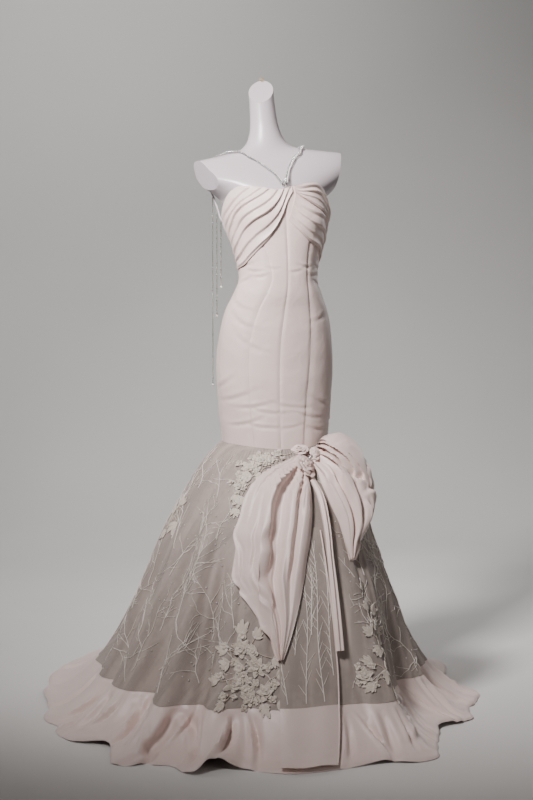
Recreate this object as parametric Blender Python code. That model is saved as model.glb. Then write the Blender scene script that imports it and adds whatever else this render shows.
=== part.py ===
"""Mermaid gown in satin and embroidered tulle, standing on a limbless dress form.

The gown faces -Y and the origin is the middle of the base plate's underside. Angles are in
degrees round the body, 0 at the centre front and 90 at the wearer's left side, towards +X.
Every cloth piece is a thin wall between an outer grid of points and the same grid moved in.
"""
import math

import bmesh
import bpy
import numpy as np

# Driving dimensions in metres
SATIN = 0.002                 # lined satin wall
TULLE = 0.0015                # embroidered tulle wall
LACE = 0.0025                 # raised lace flowers
SEAM = 0.0003                 # gap between two pieces at a seam
FORM_EASE = 0.0005            # gap between the gown and the form under it
JOINT_HEIGHT = 0.745          # where the fitted body meets the flared skirt
JOINT_DIP = 0.014             # how far that seam dips at the centre front, and over what angle
JOINT_SPREAD = 50.0
DRAPE_EASE = 0.0015           # gap between the bodice and the pleats over it
FORM_BOTTOM = 0.80
FORM_LEAVES = (1.345, 1.385)  # heights between which the form leaves the gown for its own shape
FORM_FIRST_RING = 0.010       # how far above its bottom the form's next ring lies
TILT_STARTS = (1.43, 1.50)    # heights between which the shoulders begin to tilt
BUST_RISE = 0.012             # extra fullness over each cup
BUST_ANGLE = 33.0
BUST_SPREAD = 22.0
BUST_HEIGHT = 1.352
BUST_TALL = 0.050
POLE_RADIUS = 0.0125
BASE_RADIUS = 0.17
BASE_THICKNESS = 0.012
HEM_CLEARANCE = 0.0023        # outer face of the hem over the floor, wall included
STRAP_RADIUS = 0.0035
STRAND_RADIUS = 0.0022
SHOULDER_TILT = 0.085         # rise of the shoulders per metre towards +X

# Body: height, half width, front depth, back depth, centre y
BODY = np.array([
    (0.700, 0.147, 0.130, 0.126, 0.000),
    (0.745, 0.147, 0.127, 0.124, 0.000),
    (0.800, 0.151, 0.121, 0.120, 0.000),
    (0.860, 0.156, 0.117, 0.122, 0.000),
    (0.935, 0.161, 0.115, 0.125, 0.000),
    (0.990, 0.160, 0.112, 0.119, -0.003),
    (1.045, 0.154, 0.107, 0.108, -0.009),
    (1.100, 0.141, 0.100, 0.096, -0.017),
    (1.150, 0.120, 0.091, 0.087, -0.031),
    (1.190, 0.107, 0.086, 0.081, -0.036),
    (1.225, 0.110, 0.089, 0.080, -0.032),
    (1.270, 0.121, 0.098, 0.082, -0.020),
    (1.320, 0.136, 0.106, 0.087, -0.007),
    (1.360, 0.146, 0.110, 0.092, 0.000),
    (1.400, 0.143, 0.108, 0.096, 0.000),
    (1.440, 0.138, 0.101, 0.098, 0.000),
    (1.470, 0.135, 0.095, 0.098, 0.000),
])

# Form above the bust: height, half width, front depth, back depth, centre y
SHOULDERS = np.array([
    (1.340, 0.1380, 0.112, 0.084, 0.002),
    (1.360, 0.1380, 0.120, 0.079, 0.010),
    (1.380, 0.1355, 0.136, 0.077, 0.030),
    (1.400, 0.1405, 0.146, 0.072, 0.046),
    (1.415, 0.1550, 0.147, 0.067, 0.053),
    (1.430, 0.1740, 0.144, 0.063, 0.059),
    (1.460, 0.2160, 0.126, 0.057, 0.066),
    (1.485, 0.2380, 0.100, 0.053, 0.071),
    (1.505, 0.2400, 0.075, 0.048, 0.074),
    (1.521, 0.2280, 0.058, 0.045, 0.076),
    (1.533, 0.1600, 0.051, 0.043, 0.077),
    (1.550, 0.0740, 0.048, 0.042, 0.079),
    (1.580, 0.0480, 0.043, 0.040, 0.082),
    (1.620, 0.0385, 0.037, 0.037, 0.085),
    (1.680, 0.0350, 0.034, 0.034, 0.088),
    (1.780, 0.0330, 0.032, 0.032, 0.090),
])
# Flat cuts of the form's shoulders and neck: a point on each, and the way it faces
FORM_CUTS = (
    ((-0.1938, 0.070, 1.480), (-0.933, -0.250, -0.259)),
    ((0.1885, 0.070, 1.492), (0.953, 0.0, -0.302)),
    ((-0.017, 0.088, 1.708), (-0.30, -0.66, 0.69)),
)
CUT_FLOOR = 1.360
SHOULDER_LEVELS = (1.460, 1.482, 1.502, 1.516, 1.526, 1.536, 1.550, 1.570, 1.600, 1.640, 1.700, 1.775)

# Neckline: angle, height
NECKLINE = np.array([
    (-180, 1.285), (-130, 1.300), (-105, 1.332), (-90, 1.365), (-80, 1.398), (-67, 1.421), (-54, 1.432),
    (-26, 1.429), (-8, 1.423), (7, 1.431), (29, 1.443), (41, 1.445), (53, 1.438), (66, 1.417),
    (78, 1.380), (95, 1.340), (130, 1.300), (180, 1.285),
])

# Body seams: height, centre back, princess and side on the -X half, centre front, then the +X half
SEAMS = np.array([
    (0.700, -180, -142, -90, -34, -6, 20, 90, 142, 180),
    (0.850, -180, -142, -90, -37, -6, 23, 90, 142, 180),
    (1.000, -180, -142, -90, -37, -5, 28, 90, 142, 180),
    (1.100, -180, -144, -90, -31, -1, 31, 90, 144, 180),
    (1.190, -180, -147, -90, -21, 3, 36, 90, 147, 180),
    (1.280, -180, -147, -90, -29, 2, 35, 90, 147, 180),
    (1.470, -180, -146, -90, -36, -2, 33, 90, 146, 180),
])
PANEL_NAMES = ("back_left", "side_back_left", "side_front_left", "front_left",
               "front_right", "side_front_right", "side_back_right", "back_right")
PANEL_COLUMNS = 4
BODY_ROWS = 18

# Skirt from the joint to the hem: share of the way, radius and height in front, radius and
# height at the back, and how much narrower it falls on the +X side
SKIRT = np.array([
    (0.00, 0.147, 0.745, 0.147, 0.745, 0.000),
    (0.05, 0.178, 0.715, 0.172, 0.715, 0.009),
    (0.12, 0.214, 0.668, 0.208, 0.664, 0.019),
    (0.22, 0.258, 0.590, 0.256, 0.582, 0.029),
    (0.34, 0.303, 0.500, 0.308, 0.482, 0.038),
    (0.46, 0.343, 0.405, 0.368, 0.376, 0.044),
    (0.58, 0.381, 0.308, 0.452, 0.258, 0.048),
    (0.70, 0.418, 0.208, 0.575, 0.142, 0.050),
    (0.82, 0.462, 0.112, 0.742, 0.048, 0.052),
    (0.88, 0.500, 0.066, 0.812, 0.024, 0.054),
    (0.93, 0.540, 0.032, 0.868, 0.011, 0.056),
    (0.97, 0.578, 0.011, 0.915, 0.004, 0.058),
    (1.00, 0.610, 0.000, 0.950, 0.000, 0.060),
])
NARROW_SIDE = 82.0            # angle of that narrower side, and how far round it reaches
NARROW_SPREAD = 44.0
TULLE_ROWS = 9                # rows of the table above that belong to the tulle
BAND_START = SKIRT[TULLE_ROWS - 1, 0]
TRAIN_START = 98.0            # angle where the hem begins to run out into the train
TRAIN_RUN = 82.0

# Folds of the skirt: angle, half width, rise outwards at the hem, share where it starts
FOLDS = np.array([
    (-168, 9, 0.030, 0.45), (-150, 8, 0.026, 0.50), (-131, 9, 0.030, 0.40), (-112, 8, 0.024, 0.45),
    (-93, 8, 0.028, 0.12), (-77, 6, 0.022, 0.45), (-63, 6, -0.026, 0.35), (-49, 7, 0.040, 0.22),
    (-32, 5, 0.040, 0.50), (-22, 5, -0.020, 0.60), (-9, 6, 0.012, 0.30), (10, 7, -0.010, 0.45),
    (22, 7, 0.040, 0.30), (46, 11, -0.085, 0.40), (67, 6, -0.014, 0.35),
    (88, 9, 0.050, 0.55), (103, 7, -0.012, 0.50), (120, 10, 0.085, 0.55), (140, 8, 0.018, 0.50),
    (157, 9, 0.030, 0.45),
])

# Arches of the hem: angle, half width, lift
ARCHES = np.array([
    (-62, 6, 0.012), (-27, 4.5, 0.024), (13, 5, 0.008), (50, 7, 0.012), (101, 7, 0.010), (-112, 7, 0.008),
])

# Skirt gores: name, angle at each side, number of columns
GORES = (
    ("back_left", -180.0, -92.0, 15),
    ("front_left", -92.0, -5.0, 24),
    ("front_right", -5.0, 90.0, 24),
    ("back_right", 90.0, 180.0, 15),
)

# Loose front panel: share of the way, left angle, right angle, height over the skirt
FRONT_PANEL = np.array([
    (0.29, -12.0, 11.0, 0.0012), (0.46, -12.0, 10.0, 0.004), (0.70, -12.0, 8.5, 0.008),
    (0.82, -12.0, 6.5, 0.011), (1.00, -12.5, 0.5, 0.013),
])
PANEL_PUFF = 0.0016           # how far its middle stands over its edges

# Lower edge of each bust drape: angle, height
LEFT_DRAPE_EDGE = np.array([
    (-92, 1.212), (-68, 1.222), (-46, 1.248), (-31, 1.272), (-21, 1.291), (-12, 1.316),
    (-5, 1.345), (2, 1.388), (10, 1.424),
])
RIGHT_UPPER_EDGE = np.array([(9, 1.421), (18, 1.404), (28, 1.390), (48, 1.364), (66, 1.340), (89, 1.322)])
RIGHT_LOWER_EDGE = np.array([(0, 1.352), (10, 1.325), (30, 1.290), (56, 1.268), (80, 1.240), (89, 1.232)])
DRAPE_TOP_GAP = 0.0015        # how far the pleats stay under the neckline
DRAPE_PAIR_GAP = 0.004        # between the upper and the lower piece on the +X side

# Left tail of the bow: left angle and height, right angle and height
LEFT_TAIL = np.array([
    (13.0, 0.733, 11.6, 0.696), (-2.0, 0.716, 11.2, 0.668), (-14.3, 0.696, 10.6, 0.640),
    (-26.4, 0.658, 9.0, 0.605), (-31.6, 0.608, 7.5, 0.570), (-32.8, 0.558, 5.5, 0.534),
    (-34.4, 0.522, 3.5, 0.498), (-32.0, 0.480, 1.1, 0.460), (-32.2, 0.425, -0.5, 0.425),
    (-27.2, 0.378, -2.6, 0.385), (-18.4, 0.305, -6.0, 0.318), (-12.6, 0.221, -10.6, 0.224),
])

TAIL_SEWN = 0.0008            # stand-off of the bow where it's sewn on
TAIL_STAND = 0.0115           # stand-off of the wide tail where it hangs free, and its folds over that
TAIL_FOLD = 0.011
TAIL_FOLDS = 2.5
TAIL_WIGGLE = 1.2             # where across the tail the first fold starts, in radians

# Long tail: left angle, right angle, height
LONG_TAIL = np.array([
    (12.4, 16.6, 0.672), (12.0, 17.0, 0.620), (11.6, 15.4, 0.540), (10.4, 13.4, 0.460),
    (9.2, 12.4, 0.360), (8.0, 11.4, 0.236),
])
LONG_TAIL_STAND = 0.016
LONG_TAIL_PUFF = 0.003

# Bow loop from knot to tip: inner angle, height and stand-off, then the outer edge's
LOOP = np.array([
    (17.6, 0.704, 0.0036, 28.0, 0.735, 0.0058), (18.2, 0.690, 0.010, 35.6, 0.738, 0.036),
    (17.8, 0.668, 0.014, 39.0, 0.731, 0.072), (17.4, 0.640, 0.018, 41.7, 0.705, 0.084),
    (18.2, 0.606, 0.020, 44.7, 0.657, 0.080), (19.4, 0.572, 0.020, 46.3, 0.611, 0.074),
    (21.0, 0.541, 0.019, 43.6, 0.570, 0.064), (22.0, 0.510, 0.016, 39.0, 0.532, 0.048),
    (22.8, 0.480, 0.012, 32.0, 0.486, 0.016), (24.0, 0.450, 0.008, 26.6, 0.446, 0.009),
])

# Layers of the loop: name, columns, share across where it begins, bulge, ripple, set back
LOOP_LAYERS = (
    ("bow_loop_front", 8, 0.00, 0.024, 0.005, 0.0),
    ("bow_loop_back", 5, 0.04, -0.012, 0.0, 0.0060),
)

# Roses: name, angle, height, stand-off, width, tall, thick
ROSES = (
    ("rose_large", 9.5, 0.692, 0.0080, 0.052, 0.068, 0.024),
    ("rose_upper", 13.5, 0.738, 0.0034, 0.048, 0.030, 0.018),
    ("rose_small", 20.6, 0.712, 0.0310, 0.026, 0.040, 0.016),
)
ROSE_RINGS = (0.22, 0.42, 0.62, 0.82, 1.0)
ROSE_SWIRL = 0.14             # height of the spiral petal edges, as a share of the thickness

# Lace flowers: share of the way, angle, radius, petals, turn, lift over the tulle
FLOWERS = (
    (0.055, -24.0, 0.020, 5, 10, 0.0010), (0.085, -33.0, 0.022, 5, 40, 0.0010),
    (0.150, -36.5, 0.018, 5, 0, 0.0010), (0.030, -11.0, 0.018, 5, 25, 0.0008),
    (0.650, -26.0, 0.026, 5, 15, 0.0010), (0.700, -20.0, 0.028, 6, 0, 0.0010),
    (0.750, -27.0, 0.026, 5, 30, 0.0010), (0.770, -16.5, 0.024, 5, 50, 0.0010),
    (0.792, -22.3, 0.022, 5, 12, 0.0010), (0.690, 28.5, 0.020, 5, 20, 0.0010),
    (0.740, 17.5, 0.022, 5, 40, 0.0017), (0.600, 27.5, 0.018, 5, 0, 0.0014),
)

# Straps from the brooch along the form: angle and height on the form's surface
STRAP_START = (0.0055, -0.0984, 1.4430)
LEFT_STRAP = ((-4.2, 1.4685), (-8.0, 1.4895), (-12.0, 1.5085), (-18.5, 1.5245), (-47.5, 1.5395),
              (-90.0, 1.5405), (-128.0, 1.530), (-138.0, 1.515), (-140.0, 1.500))
RIGHT_STRAP = ((7.2, 1.4795), (10.8, 1.497), (15.8, 1.5155), (32.0, 1.534), (70.0, 1.5425),
               (108.0, 1.5425), (135.0, 1.535), (156.0, 1.515), (163.0, 1.470), (168.0, 1.400),
               (172.0, 1.330), (174.0, 1.2868))
LEFT_STAND_OFF = 0.0050
RIGHT_STAND_OFF = 0.0067
BROOCH = (0.0, -0.1010, 1.4389)
BROOCH_RADIUS = 0.012
BROOCH_THICKNESS = 0.006

# Link strap behind the -X shoulder, then each bead strand's top point and length
LINK = ((-0.1560, 0.116, 1.444), (-0.1480, 0.100, 1.410), (-0.1420, 0.078, 1.378), (-0.1400, 0.050, 1.352))
LINK_ENDS = ((-91.5, 1.335), (-94.0, 1.316))
LINK_RADIUS = 0.0025
LINK_EASE = 0.0006            # gap between the link strap and the gown
STRANDS = ((5, 0.518), (8, 0.289), (12, 0.178))     # point on the link strap, length

# Brass eye on the neck's cut face
EYE_PLACE = (-0.009, 0.1155, 1.7455)
EYE_RADIUS = 0.0048
EYE_WIRE = 0.0012
EYE_TURN = -14.0

# Colour, roughness and metallic of each material
COLOURS = {
    "satin": ((0.86, 0.77, 0.73), 0.38, 0.0),
    "tulle": ((0.72, 0.69, 0.66), 0.80, 0.0),
    "lace": ((0.90, 0.86, 0.82), 0.70, 0.0),
    "form": ((0.84, 0.85, 0.90), 0.30, 0.0),
    "jewels": ((0.86, 0.87, 0.88), 0.22, 0.6),
    "brass": ((0.72, 0.55, 0.28), 0.35, 1.0),
    "steel": ((0.80, 0.81, 0.83), 0.35, 0.8),
}


def clear_scene():
    for item in list(bpy.data.objects):
        bpy.data.objects.remove(item, do_unlink=True)


def material(name):
    made = bpy.data.materials.get(name)
    if made is None:
        colour, roughness, metallic = COLOURS[name]
        made = bpy.data.materials.new(name)
        made.use_nodes = True
        shader = made.node_tree.nodes["Principled BSDF"]
        shader.inputs["Base Color"].default_value = (*colour, 1.0)
        shader.inputs["Roughness"].default_value = roughness
        shader.inputs["Metallic"].default_value = metallic
    return made


def blend(low, high, value):
    """Smooth step from 0 at low to 1 at high."""
    x = np.clip((np.asarray(value, float) - low) / (high - low), 0.0, 1.0)
    return x * x * (3.0 - 2.0 * x)


def curve(x, stations, values):
    """Smooth curve through a table's rows that never overshoots them."""
    stations = np.asarray(stations, float)
    values = np.asarray(values, float)
    x = np.clip(np.asarray(x, float), stations[0], stations[-1])
    step = np.diff(stations)
    slope = np.diff(values) / step
    tangent = np.zeros_like(values)
    same_way = slope[:-1] * slope[1:] > 0
    mean = 2.0 * slope[:-1] * slope[1:] / np.where(same_way, slope[:-1] + slope[1:], 1.0)
    tangent[1:-1] = np.where(same_way, mean, 0.0)
    tangent[0] = slope[0]
    tangent[-1] = slope[-1]
    k = np.clip(np.searchsorted(stations, x, side="right") - 1, 0, len(step) - 1)
    t = (x - stations[k]) / step[k]
    low = values[k] * (1 + 2 * t) * (1 - t) ** 2 + tangent[k] * step[k] * t * (1 - t) ** 2
    high = values[k + 1] * t * t * (3 - 2 * t) + tangent[k + 1] * step[k] * t * t * (t - 1)
    return low + high


def section(table, angle, height):
    """Point at an angle on the oval that a section table gives at a height."""
    width, front, back, centre = (curve(height, table[:, 0], table[:, c]) for c in range(1, 5))
    turn = np.radians(angle)
    depth = np.where(np.cos(turn) > 0, front, back)
    return np.stack([width * np.sin(turn), centre - depth * np.cos(turn), np.asarray(height, float)], -1)


def unit(vectors):
    return vectors / np.linalg.norm(vectors, axis=-1, keepdims=True)


def body_point(angle, height, out=0.0):
    """Outer face of the fitted body, moved out along its own normal."""
    angle = np.asarray(angle, float)
    height = np.asarray(height, float) + 0.0 * angle
    angle = angle + 0.0 * height

    def surface(a, h):
        point = section(BODY, a, h)
        cups = sum(np.exp(-((a - side) / BUST_SPREAD) ** 2) for side in (-BUST_ANGLE, BUST_ANGLE))
        rise = BUST_RISE * cups * np.exp(-((h - BUST_HEIGHT) / BUST_TALL) ** 2)
        turn = np.radians(a)
        return point + rise[..., None] * np.stack([np.sin(turn), -np.cos(turn), 0.0 * turn], -1)

    across = surface(angle + 0.5, height) - surface(angle - 0.5, height)
    along = surface(angle, height + 0.002) - surface(angle, height - 0.002)
    normal = unit(np.cross(across, along))
    return surface(angle, height) + np.asarray(out, float)[..., None] * normal


def neckline(angle):
    return curve(angle, NECKLINE[:, 0], NECKLINE[:, 1])


def joint_height(angle):
    return JOINT_HEIGHT - JOINT_DIP * np.exp(-(np.asarray(angle, float) / JOINT_SPREAD) ** 2)


def body_stations():
    """Angles and heights of the grid that the panels and the form share."""
    columns = np.arange(len(PANEL_NAMES) * PANEL_COLUMNS + 1)
    share = np.linspace(0.0, 1.0, BODY_ROWS + 1)
    angle = np.zeros((len(share), len(columns)))
    height = np.zeros_like(angle)
    guess = np.interp(columns / PANEL_COLUMNS, np.arange(len(SEAMS[0]) - 1), SEAMS[3, 1:])
    for row, along in enumerate(share):
        turn = guess.copy()
        for _ in range(3):
            level = joint_height(turn) + along * (neckline(turn) - joint_height(turn))
            seam = np.stack([curve(level, SEAMS[:, 0], SEAMS[:, c]) for c in range(1, SEAMS.shape[1])])
            part = np.minimum(columns // PANEL_COLUMNS, len(PANEL_NAMES) - 1)
            mix = columns / PANEL_COLUMNS - part
            turn = seam[part, columns] * (1 - mix) + seam[part + 1, columns] * mix
        angle[row] = turn
        height[row] = joint_height(turn) + along * (neckline(turn) - joint_height(turn))
    return angle, height


def skirt_angles():
    runs = [np.linspace(start, end, count + 1)[:-1] for _, start, end, count in GORES]
    return np.append(np.concatenate(runs), 180.0)


def skirt_point(share, angle, out=0.0):
    """Outer face of the skirt with its folds, arches and train."""
    share = np.asarray(share, float)
    angle = np.asarray(angle, float) + 0.0 * share
    share = share + 0.0 * angle
    train = blend(0.0, 1.0, (np.abs(angle) - TRAIN_START) / TRAIN_RUN)
    front_r, front_z, back_r, back_z, narrow = (curve(share, SKIRT[:, 0], SKIRT[:, c]) for c in range(1, 6))
    radius = front_r + train * (back_r - front_r)
    radius = radius - narrow * np.exp(-((angle - NARROW_SIDE) / NARROW_SPREAD) ** 2)
    height = front_z + train * (back_z - front_z)
    for middle, wide, rise, start in FOLDS:
        radius = radius + rise * blend(start, 1.0, share) * np.exp(-((angle - middle) / wide) ** 2)
    for middle, wide, lift in ARCHES:
        height = height + lift * blend(0.8, 1.0, share) * np.exp(-((angle - middle) / wide) ** 2)
    seam = joint_height(angle)
    start_point = section(BODY, angle, seam)
    turn = np.radians(angle)
    reach = radius - SKIRT[0, 1] + out
    x = start_point[..., 0] + reach * np.sin(turn)
    y = start_point[..., 1] - reach * np.cos(turn)
    z = height + (seam - JOINT_HEIGHT) * (1 - blend(0.0, 0.3, share)) + HEM_CLEARANCE * blend(0.7, 1.0, share)
    return np.stack([x, y, z], -1)


def grid_normals(points, closed=False):
    """Unit normals of a grid of points, from the points on either side."""
    along = np.gradient(points, axis=0)
    if closed:
        wrapped = np.concatenate([points[:, -2:-1], points, points[:, 1:2]], axis=1)
        across = (wrapped[:, 2:] - wrapped[:, :-2]) / 2
    else:
        across = np.gradient(points, axis=1)
    return unit(np.cross(across, along))


class Facets:
    """A triangulated grid that says where a point at a share and angle lies on its flat faces."""

    def __init__(self, shares, angles, points, normals):
        self.shares, self.angles, self.points, self.normals = shares, angles, points, normals

    def at(self, share, angle, out=0.0):
        share, angle, out = np.broadcast_arrays(share, angle, out)
        i = np.clip(np.searchsorted(self.shares, share, side="right") - 1, 0, len(self.shares) - 2)
        j = np.clip(np.searchsorted(self.angles, angle, side="right") - 1, 0, len(self.angles) - 2)
        v = (share - self.shares[i]) / (self.shares[i + 1] - self.shares[i])
        u = (angle - self.angles[j]) / (self.angles[j + 1] - self.angles[j])
        first = np.where(u > v, 1 - u, 1 - v)[..., None]
        far = np.where(u > v, v, u)[..., None]
        side = (1 - first[..., 0] - far[..., 0])[..., None]

        def mixed(grid):
            corner = np.where((u > v)[..., None], grid[i, j + 1], grid[i + 1, j])
            return first * grid[i, j] + far * grid[i + 1, j + 1] + side * corner

        return mixed(self.points) + out[..., None] * unit(mixed(self.normals))


def add_object(name, mesh_builder, colour, parts):
    mesh = bpy.data.meshes.new(name)
    mesh_builder.to_mesh(mesh)
    mesh_builder.free()
    mesh.shade_smooth()
    made = bpy.data.objects.new(name, mesh)
    made.data.materials.append(material(colour))
    parts.objects.link(made)
    return made


def add_wall(name, outer, inner, colour, parts):
    """Closed wall between two grids of the same size, with its four edges filled."""
    rows, columns = outer.shape[:2]
    builder = bmesh.new()
    sides = [[[builder.verts.new(p) for p in row] for row in grid] for grid in (outer, inner)]
    for grid in sides:
        for i in range(rows - 1):
            for j in range(columns - 1):
                builder.faces.new((grid[i][j], grid[i][j + 1], grid[i + 1][j + 1]))
                builder.faces.new((grid[i][j], grid[i + 1][j + 1], grid[i + 1][j]))
    rim = [(0, j) for j in range(columns)] + [(i, columns - 1) for i in range(1, rows)]
    rim += [(rows - 1, j) for j in range(columns - 2, -1, -1)] + [(i, 0) for i in range(rows - 2, 0, -1)]
    for (i, j), (k, m) in zip(rim, rim[1:] + rim[:1]):
        builder.faces.new((sides[0][i][j], sides[0][k][m], sides[1][k][m], sides[1][i][j]))
    bmesh.ops.recalc_face_normals(builder, faces=builder.faces)
    return add_object(name, builder, colour, parts)


def trim(outer, inner, top=0.0, bottom=0.0, start=0.0, end=0.0):
    """Shorten two grids at their edges, by distances along the wall."""
    outer, inner = outer.copy(), inner.copy()
    for edge, beside, gap, by_row in ((0, 1, top, True), (-1, -2, bottom, True),
                                      (0, 1, start, False), (-1, -2, end, False)):
        for grid in (outer, inner):
            lines = grid if by_row else grid.swapaxes(0, 1)
            lines[edge] += gap * unit(lines[beside] - lines[edge])
    return outer, inner


def add_body(parts):
    """Eight fitted panels and, under them on the same stations, the smooth form."""
    angle, height = body_stations()
    outer = body_point(angle, height)
    inner = body_point(angle, height, np.full(angle.shape, -SATIN))
    half = SEAM / 2
    for number, name in enumerate(PANEL_NAMES):
        columns = slice(number * PANEL_COLUMNS, (number + 1) * PANEL_COLUMNS + 1)
        walls = trim(outer[:, columns], inner[:, columns], top=half, start=half, end=half)
        add_wall("panel_" + name, *walls, "satin", parts)
    return angle, height


def form_point(angle, height):
    """Surface of the form: just inside the gown to the bust, then chest, shoulders and neck."""
    inset = np.full(np.shape(angle), -SATIN - FORM_EASE)
    below = body_point(angle, np.minimum(height, BODY[-2, 0]), inset)
    above = section(SHOULDERS, angle, height)
    share = blend(*FORM_LEAVES, height)[..., None]
    point = below * (1 - share) + above * share
    point[..., 2] += SHOULDER_TILT * point[..., 0] * blend(*TILT_STARTS, height)
    point[..., 0] -= SHOULDER_TILT * np.maximum(height - TILT_STARTS[1], 0.0)
    return point


def add_form(parts, angle, height):
    """Torso without arms or legs: flat at the bottom, with slanted cuts at the shoulders and neck."""
    rings = []
    for row in range(len(angle)):
        if np.min(height[row]) > FORM_BOTTOM + FORM_FIRST_RING:
            rings.append(form_point(angle[row], height[row]))
    flat = np.full(angle.shape[1], FORM_BOTTOM)
    rings.insert(0, form_point(angle[0], flat))
    last_angle, last_height = angle[-1], height[-1]
    for mix in (0.35, 0.7):
        level = last_height + mix * (SHOULDER_LEVELS[0] - last_height)
        rings.append(form_point(last_angle, level))
    for level in SHOULDER_LEVELS:
        rings.append(form_point(last_angle, np.full(last_angle.shape, level)))
    builder = bmesh.new()
    loops = [[builder.verts.new(p) for p in ring[:-1]] for ring in rings]
    for low, high in zip(loops, loops[1:]):
        for j in range(len(low)):
            k = (j + 1) % len(low)
            builder.faces.new((low[j], low[k], high[k]))
            builder.faces.new((low[j], high[k], high[j]))
    builder.faces.new(loops[0])
    builder.faces.new(loops[-1])
    bmesh.ops.recalc_face_normals(builder, faces=builder.faces)
    for place, direction in FORM_CUTS:
        faces = [face for face in builder.faces if min(v.co.z for v in face.verts) > CUT_FLOOR]
        geometry = list({part for face in faces for part in (*face.verts, *face.edges)}) + faces
        cut = bmesh.ops.bisect_plane(builder, geom=geometry, plane_co=place, plane_no=direction,
                                     dist=1e-6, clear_outer=True)
        edges = [item for item in cut["geom_cut"] if isinstance(item, bmesh.types.BMEdge)]
        bmesh.ops.contextual_create(builder, geom=edges)
    bmesh.ops.recalc_face_normals(builder, faces=builder.faces)
    add_object("form_torso", builder, "form", parts)


def add_skirt(parts):
    """Four tulle gores, the satin band below each, and the loose front panel over them."""
    shares, angles = SKIRT[:, 0], skirt_angles()
    points = skirt_point(shares[:, None], angles[None, :])
    normals = grid_normals(points, closed=True)
    if np.dot(normals[2, 30], (0.0, -1.0, 0.0)) < 0:
        normals = -normals
    half = SEAM / 2
    first = 0
    for name, _, _, count in GORES:
        columns = slice(first, first + count + 1)
        first += count
        for kind, rows, thick, colour, ends in (
                ("tulle_", slice(0, TULLE_ROWS), TULLE, "tulle", (half, half)),
                ("band_", slice(TULLE_ROWS - 1, None), SATIN, "satin", (half, 0.0))):
            outer = points[rows, columns]
            inner = outer - thick * normals[rows, columns]
            walls = trim(outer, inner, top=ends[0], bottom=ends[1], start=half, end=half)
            add_wall(kind + name, *walls, colour, parts)
    return Facets(shares, angles, points, normals)


def add_front_panel(skirt, parts):
    """Overlapping centre front panel, tulle above and satin band below."""
    table = FRONT_PANEL
    for name, start, end, rows, thick, colour in (
            ("tulle_front_panel", table[0, 0], BAND_START, 6, TULLE, "tulle"),
            ("band_front_panel", BAND_START, 1.0, 4, SATIN, "satin")):
        share = np.linspace(start, end, rows + 1)[:, None]
        left, right, stand = (curve(share, table[:, 0], table[:, c]) for c in (1, 2, 3))
        across = np.linspace(0.0, 1.0, 7)[None, :]
        angle = left + (right - left) * across
        puff = PANEL_PUFF * np.sin(math.pi * across)
        outer = skirt.at(share, angle, stand + thick + puff)
        inner = skirt.at(share, angle, stand + puff)
        outer[..., 2] = np.maximum(outer[..., 2], SEAM + thick)
        inner[..., 2] = np.maximum(inner[..., 2], SEAM)
        add_wall(name, *trim(outer, inner, top=SEAM / 2, bottom=SEAM / 2), colour, parts)


def add_drape(name, parts, top, bottom, columns, rows, pleats, depth, fan):
    """Pleated cloth over the bust between two edges given as angle and height functions of a share."""
    u = np.linspace(0.0, 1.0, columns + 1)[None, :]
    v = np.linspace(0.0, 1.0, rows + 1)[:, None]
    top_angle, top_height = top(u)
    low_angle, low_height = bottom(u)
    angle = low_angle + (top_angle - low_angle) * v
    height = low_height + (top_height - low_height) * v
    open_out = fan(u)
    wave = depth * open_out * np.abs(np.sin(math.pi * pleats * v))
    inner = body_point(angle, height, DRAPE_EASE + wave * 0.8)
    outer = body_point(angle, height, DRAPE_EASE + SATIN + wave)
    add_wall(name, outer, inner, "satin", parts)


def add_drapes(parts):
    """Left drape over the right pair, meeting at the middle of the neckline."""
    def edge(table, first, last, drop=0.0):
        def place(u):
            angle = first + (last - first) * u
            return angle, curve(angle, table[:, 0], table[:, 1]) - drop
        return place

    def under_neckline(first, last):
        def place(u):
            angle = first + (last - first) * u
            return angle, neckline(angle) - DRAPE_TOP_GAP
        return place

    add_drape("drape_left", parts, under_neckline(-88.0, 8.0), edge(LEFT_DRAPE_EDGE, -90.0, 8.0),
              columns=12, rows=14, pleats=5, depth=0.0065, fan=lambda u: 1 - 0.55 * u)
    add_drape("drape_right_upper", parts, under_neckline(10.5, 88.0), edge(RIGHT_UPPER_EDGE, 11.5, 88.0),
              columns=8, rows=8, pleats=3, depth=0.0055, fan=lambda u: 0.45 + 0.55 * u)
    add_drape("drape_right_lower", parts, edge(RIGHT_UPPER_EDGE, 12.0, 88.0, DRAPE_PAIR_GAP),
              edge(RIGHT_LOWER_EDGE, 3.5, 88.0),
              columns=8, rows=8, pleats=3, depth=0.0055, fan=lambda u: 0.45 + 0.55 * u)


def skirt_share(height):
    """Share of the way down the front of the skirt at a height."""
    return np.interp(-np.asarray(height, float), -SKIRT[:, 2], SKIRT[:, 0])


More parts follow.
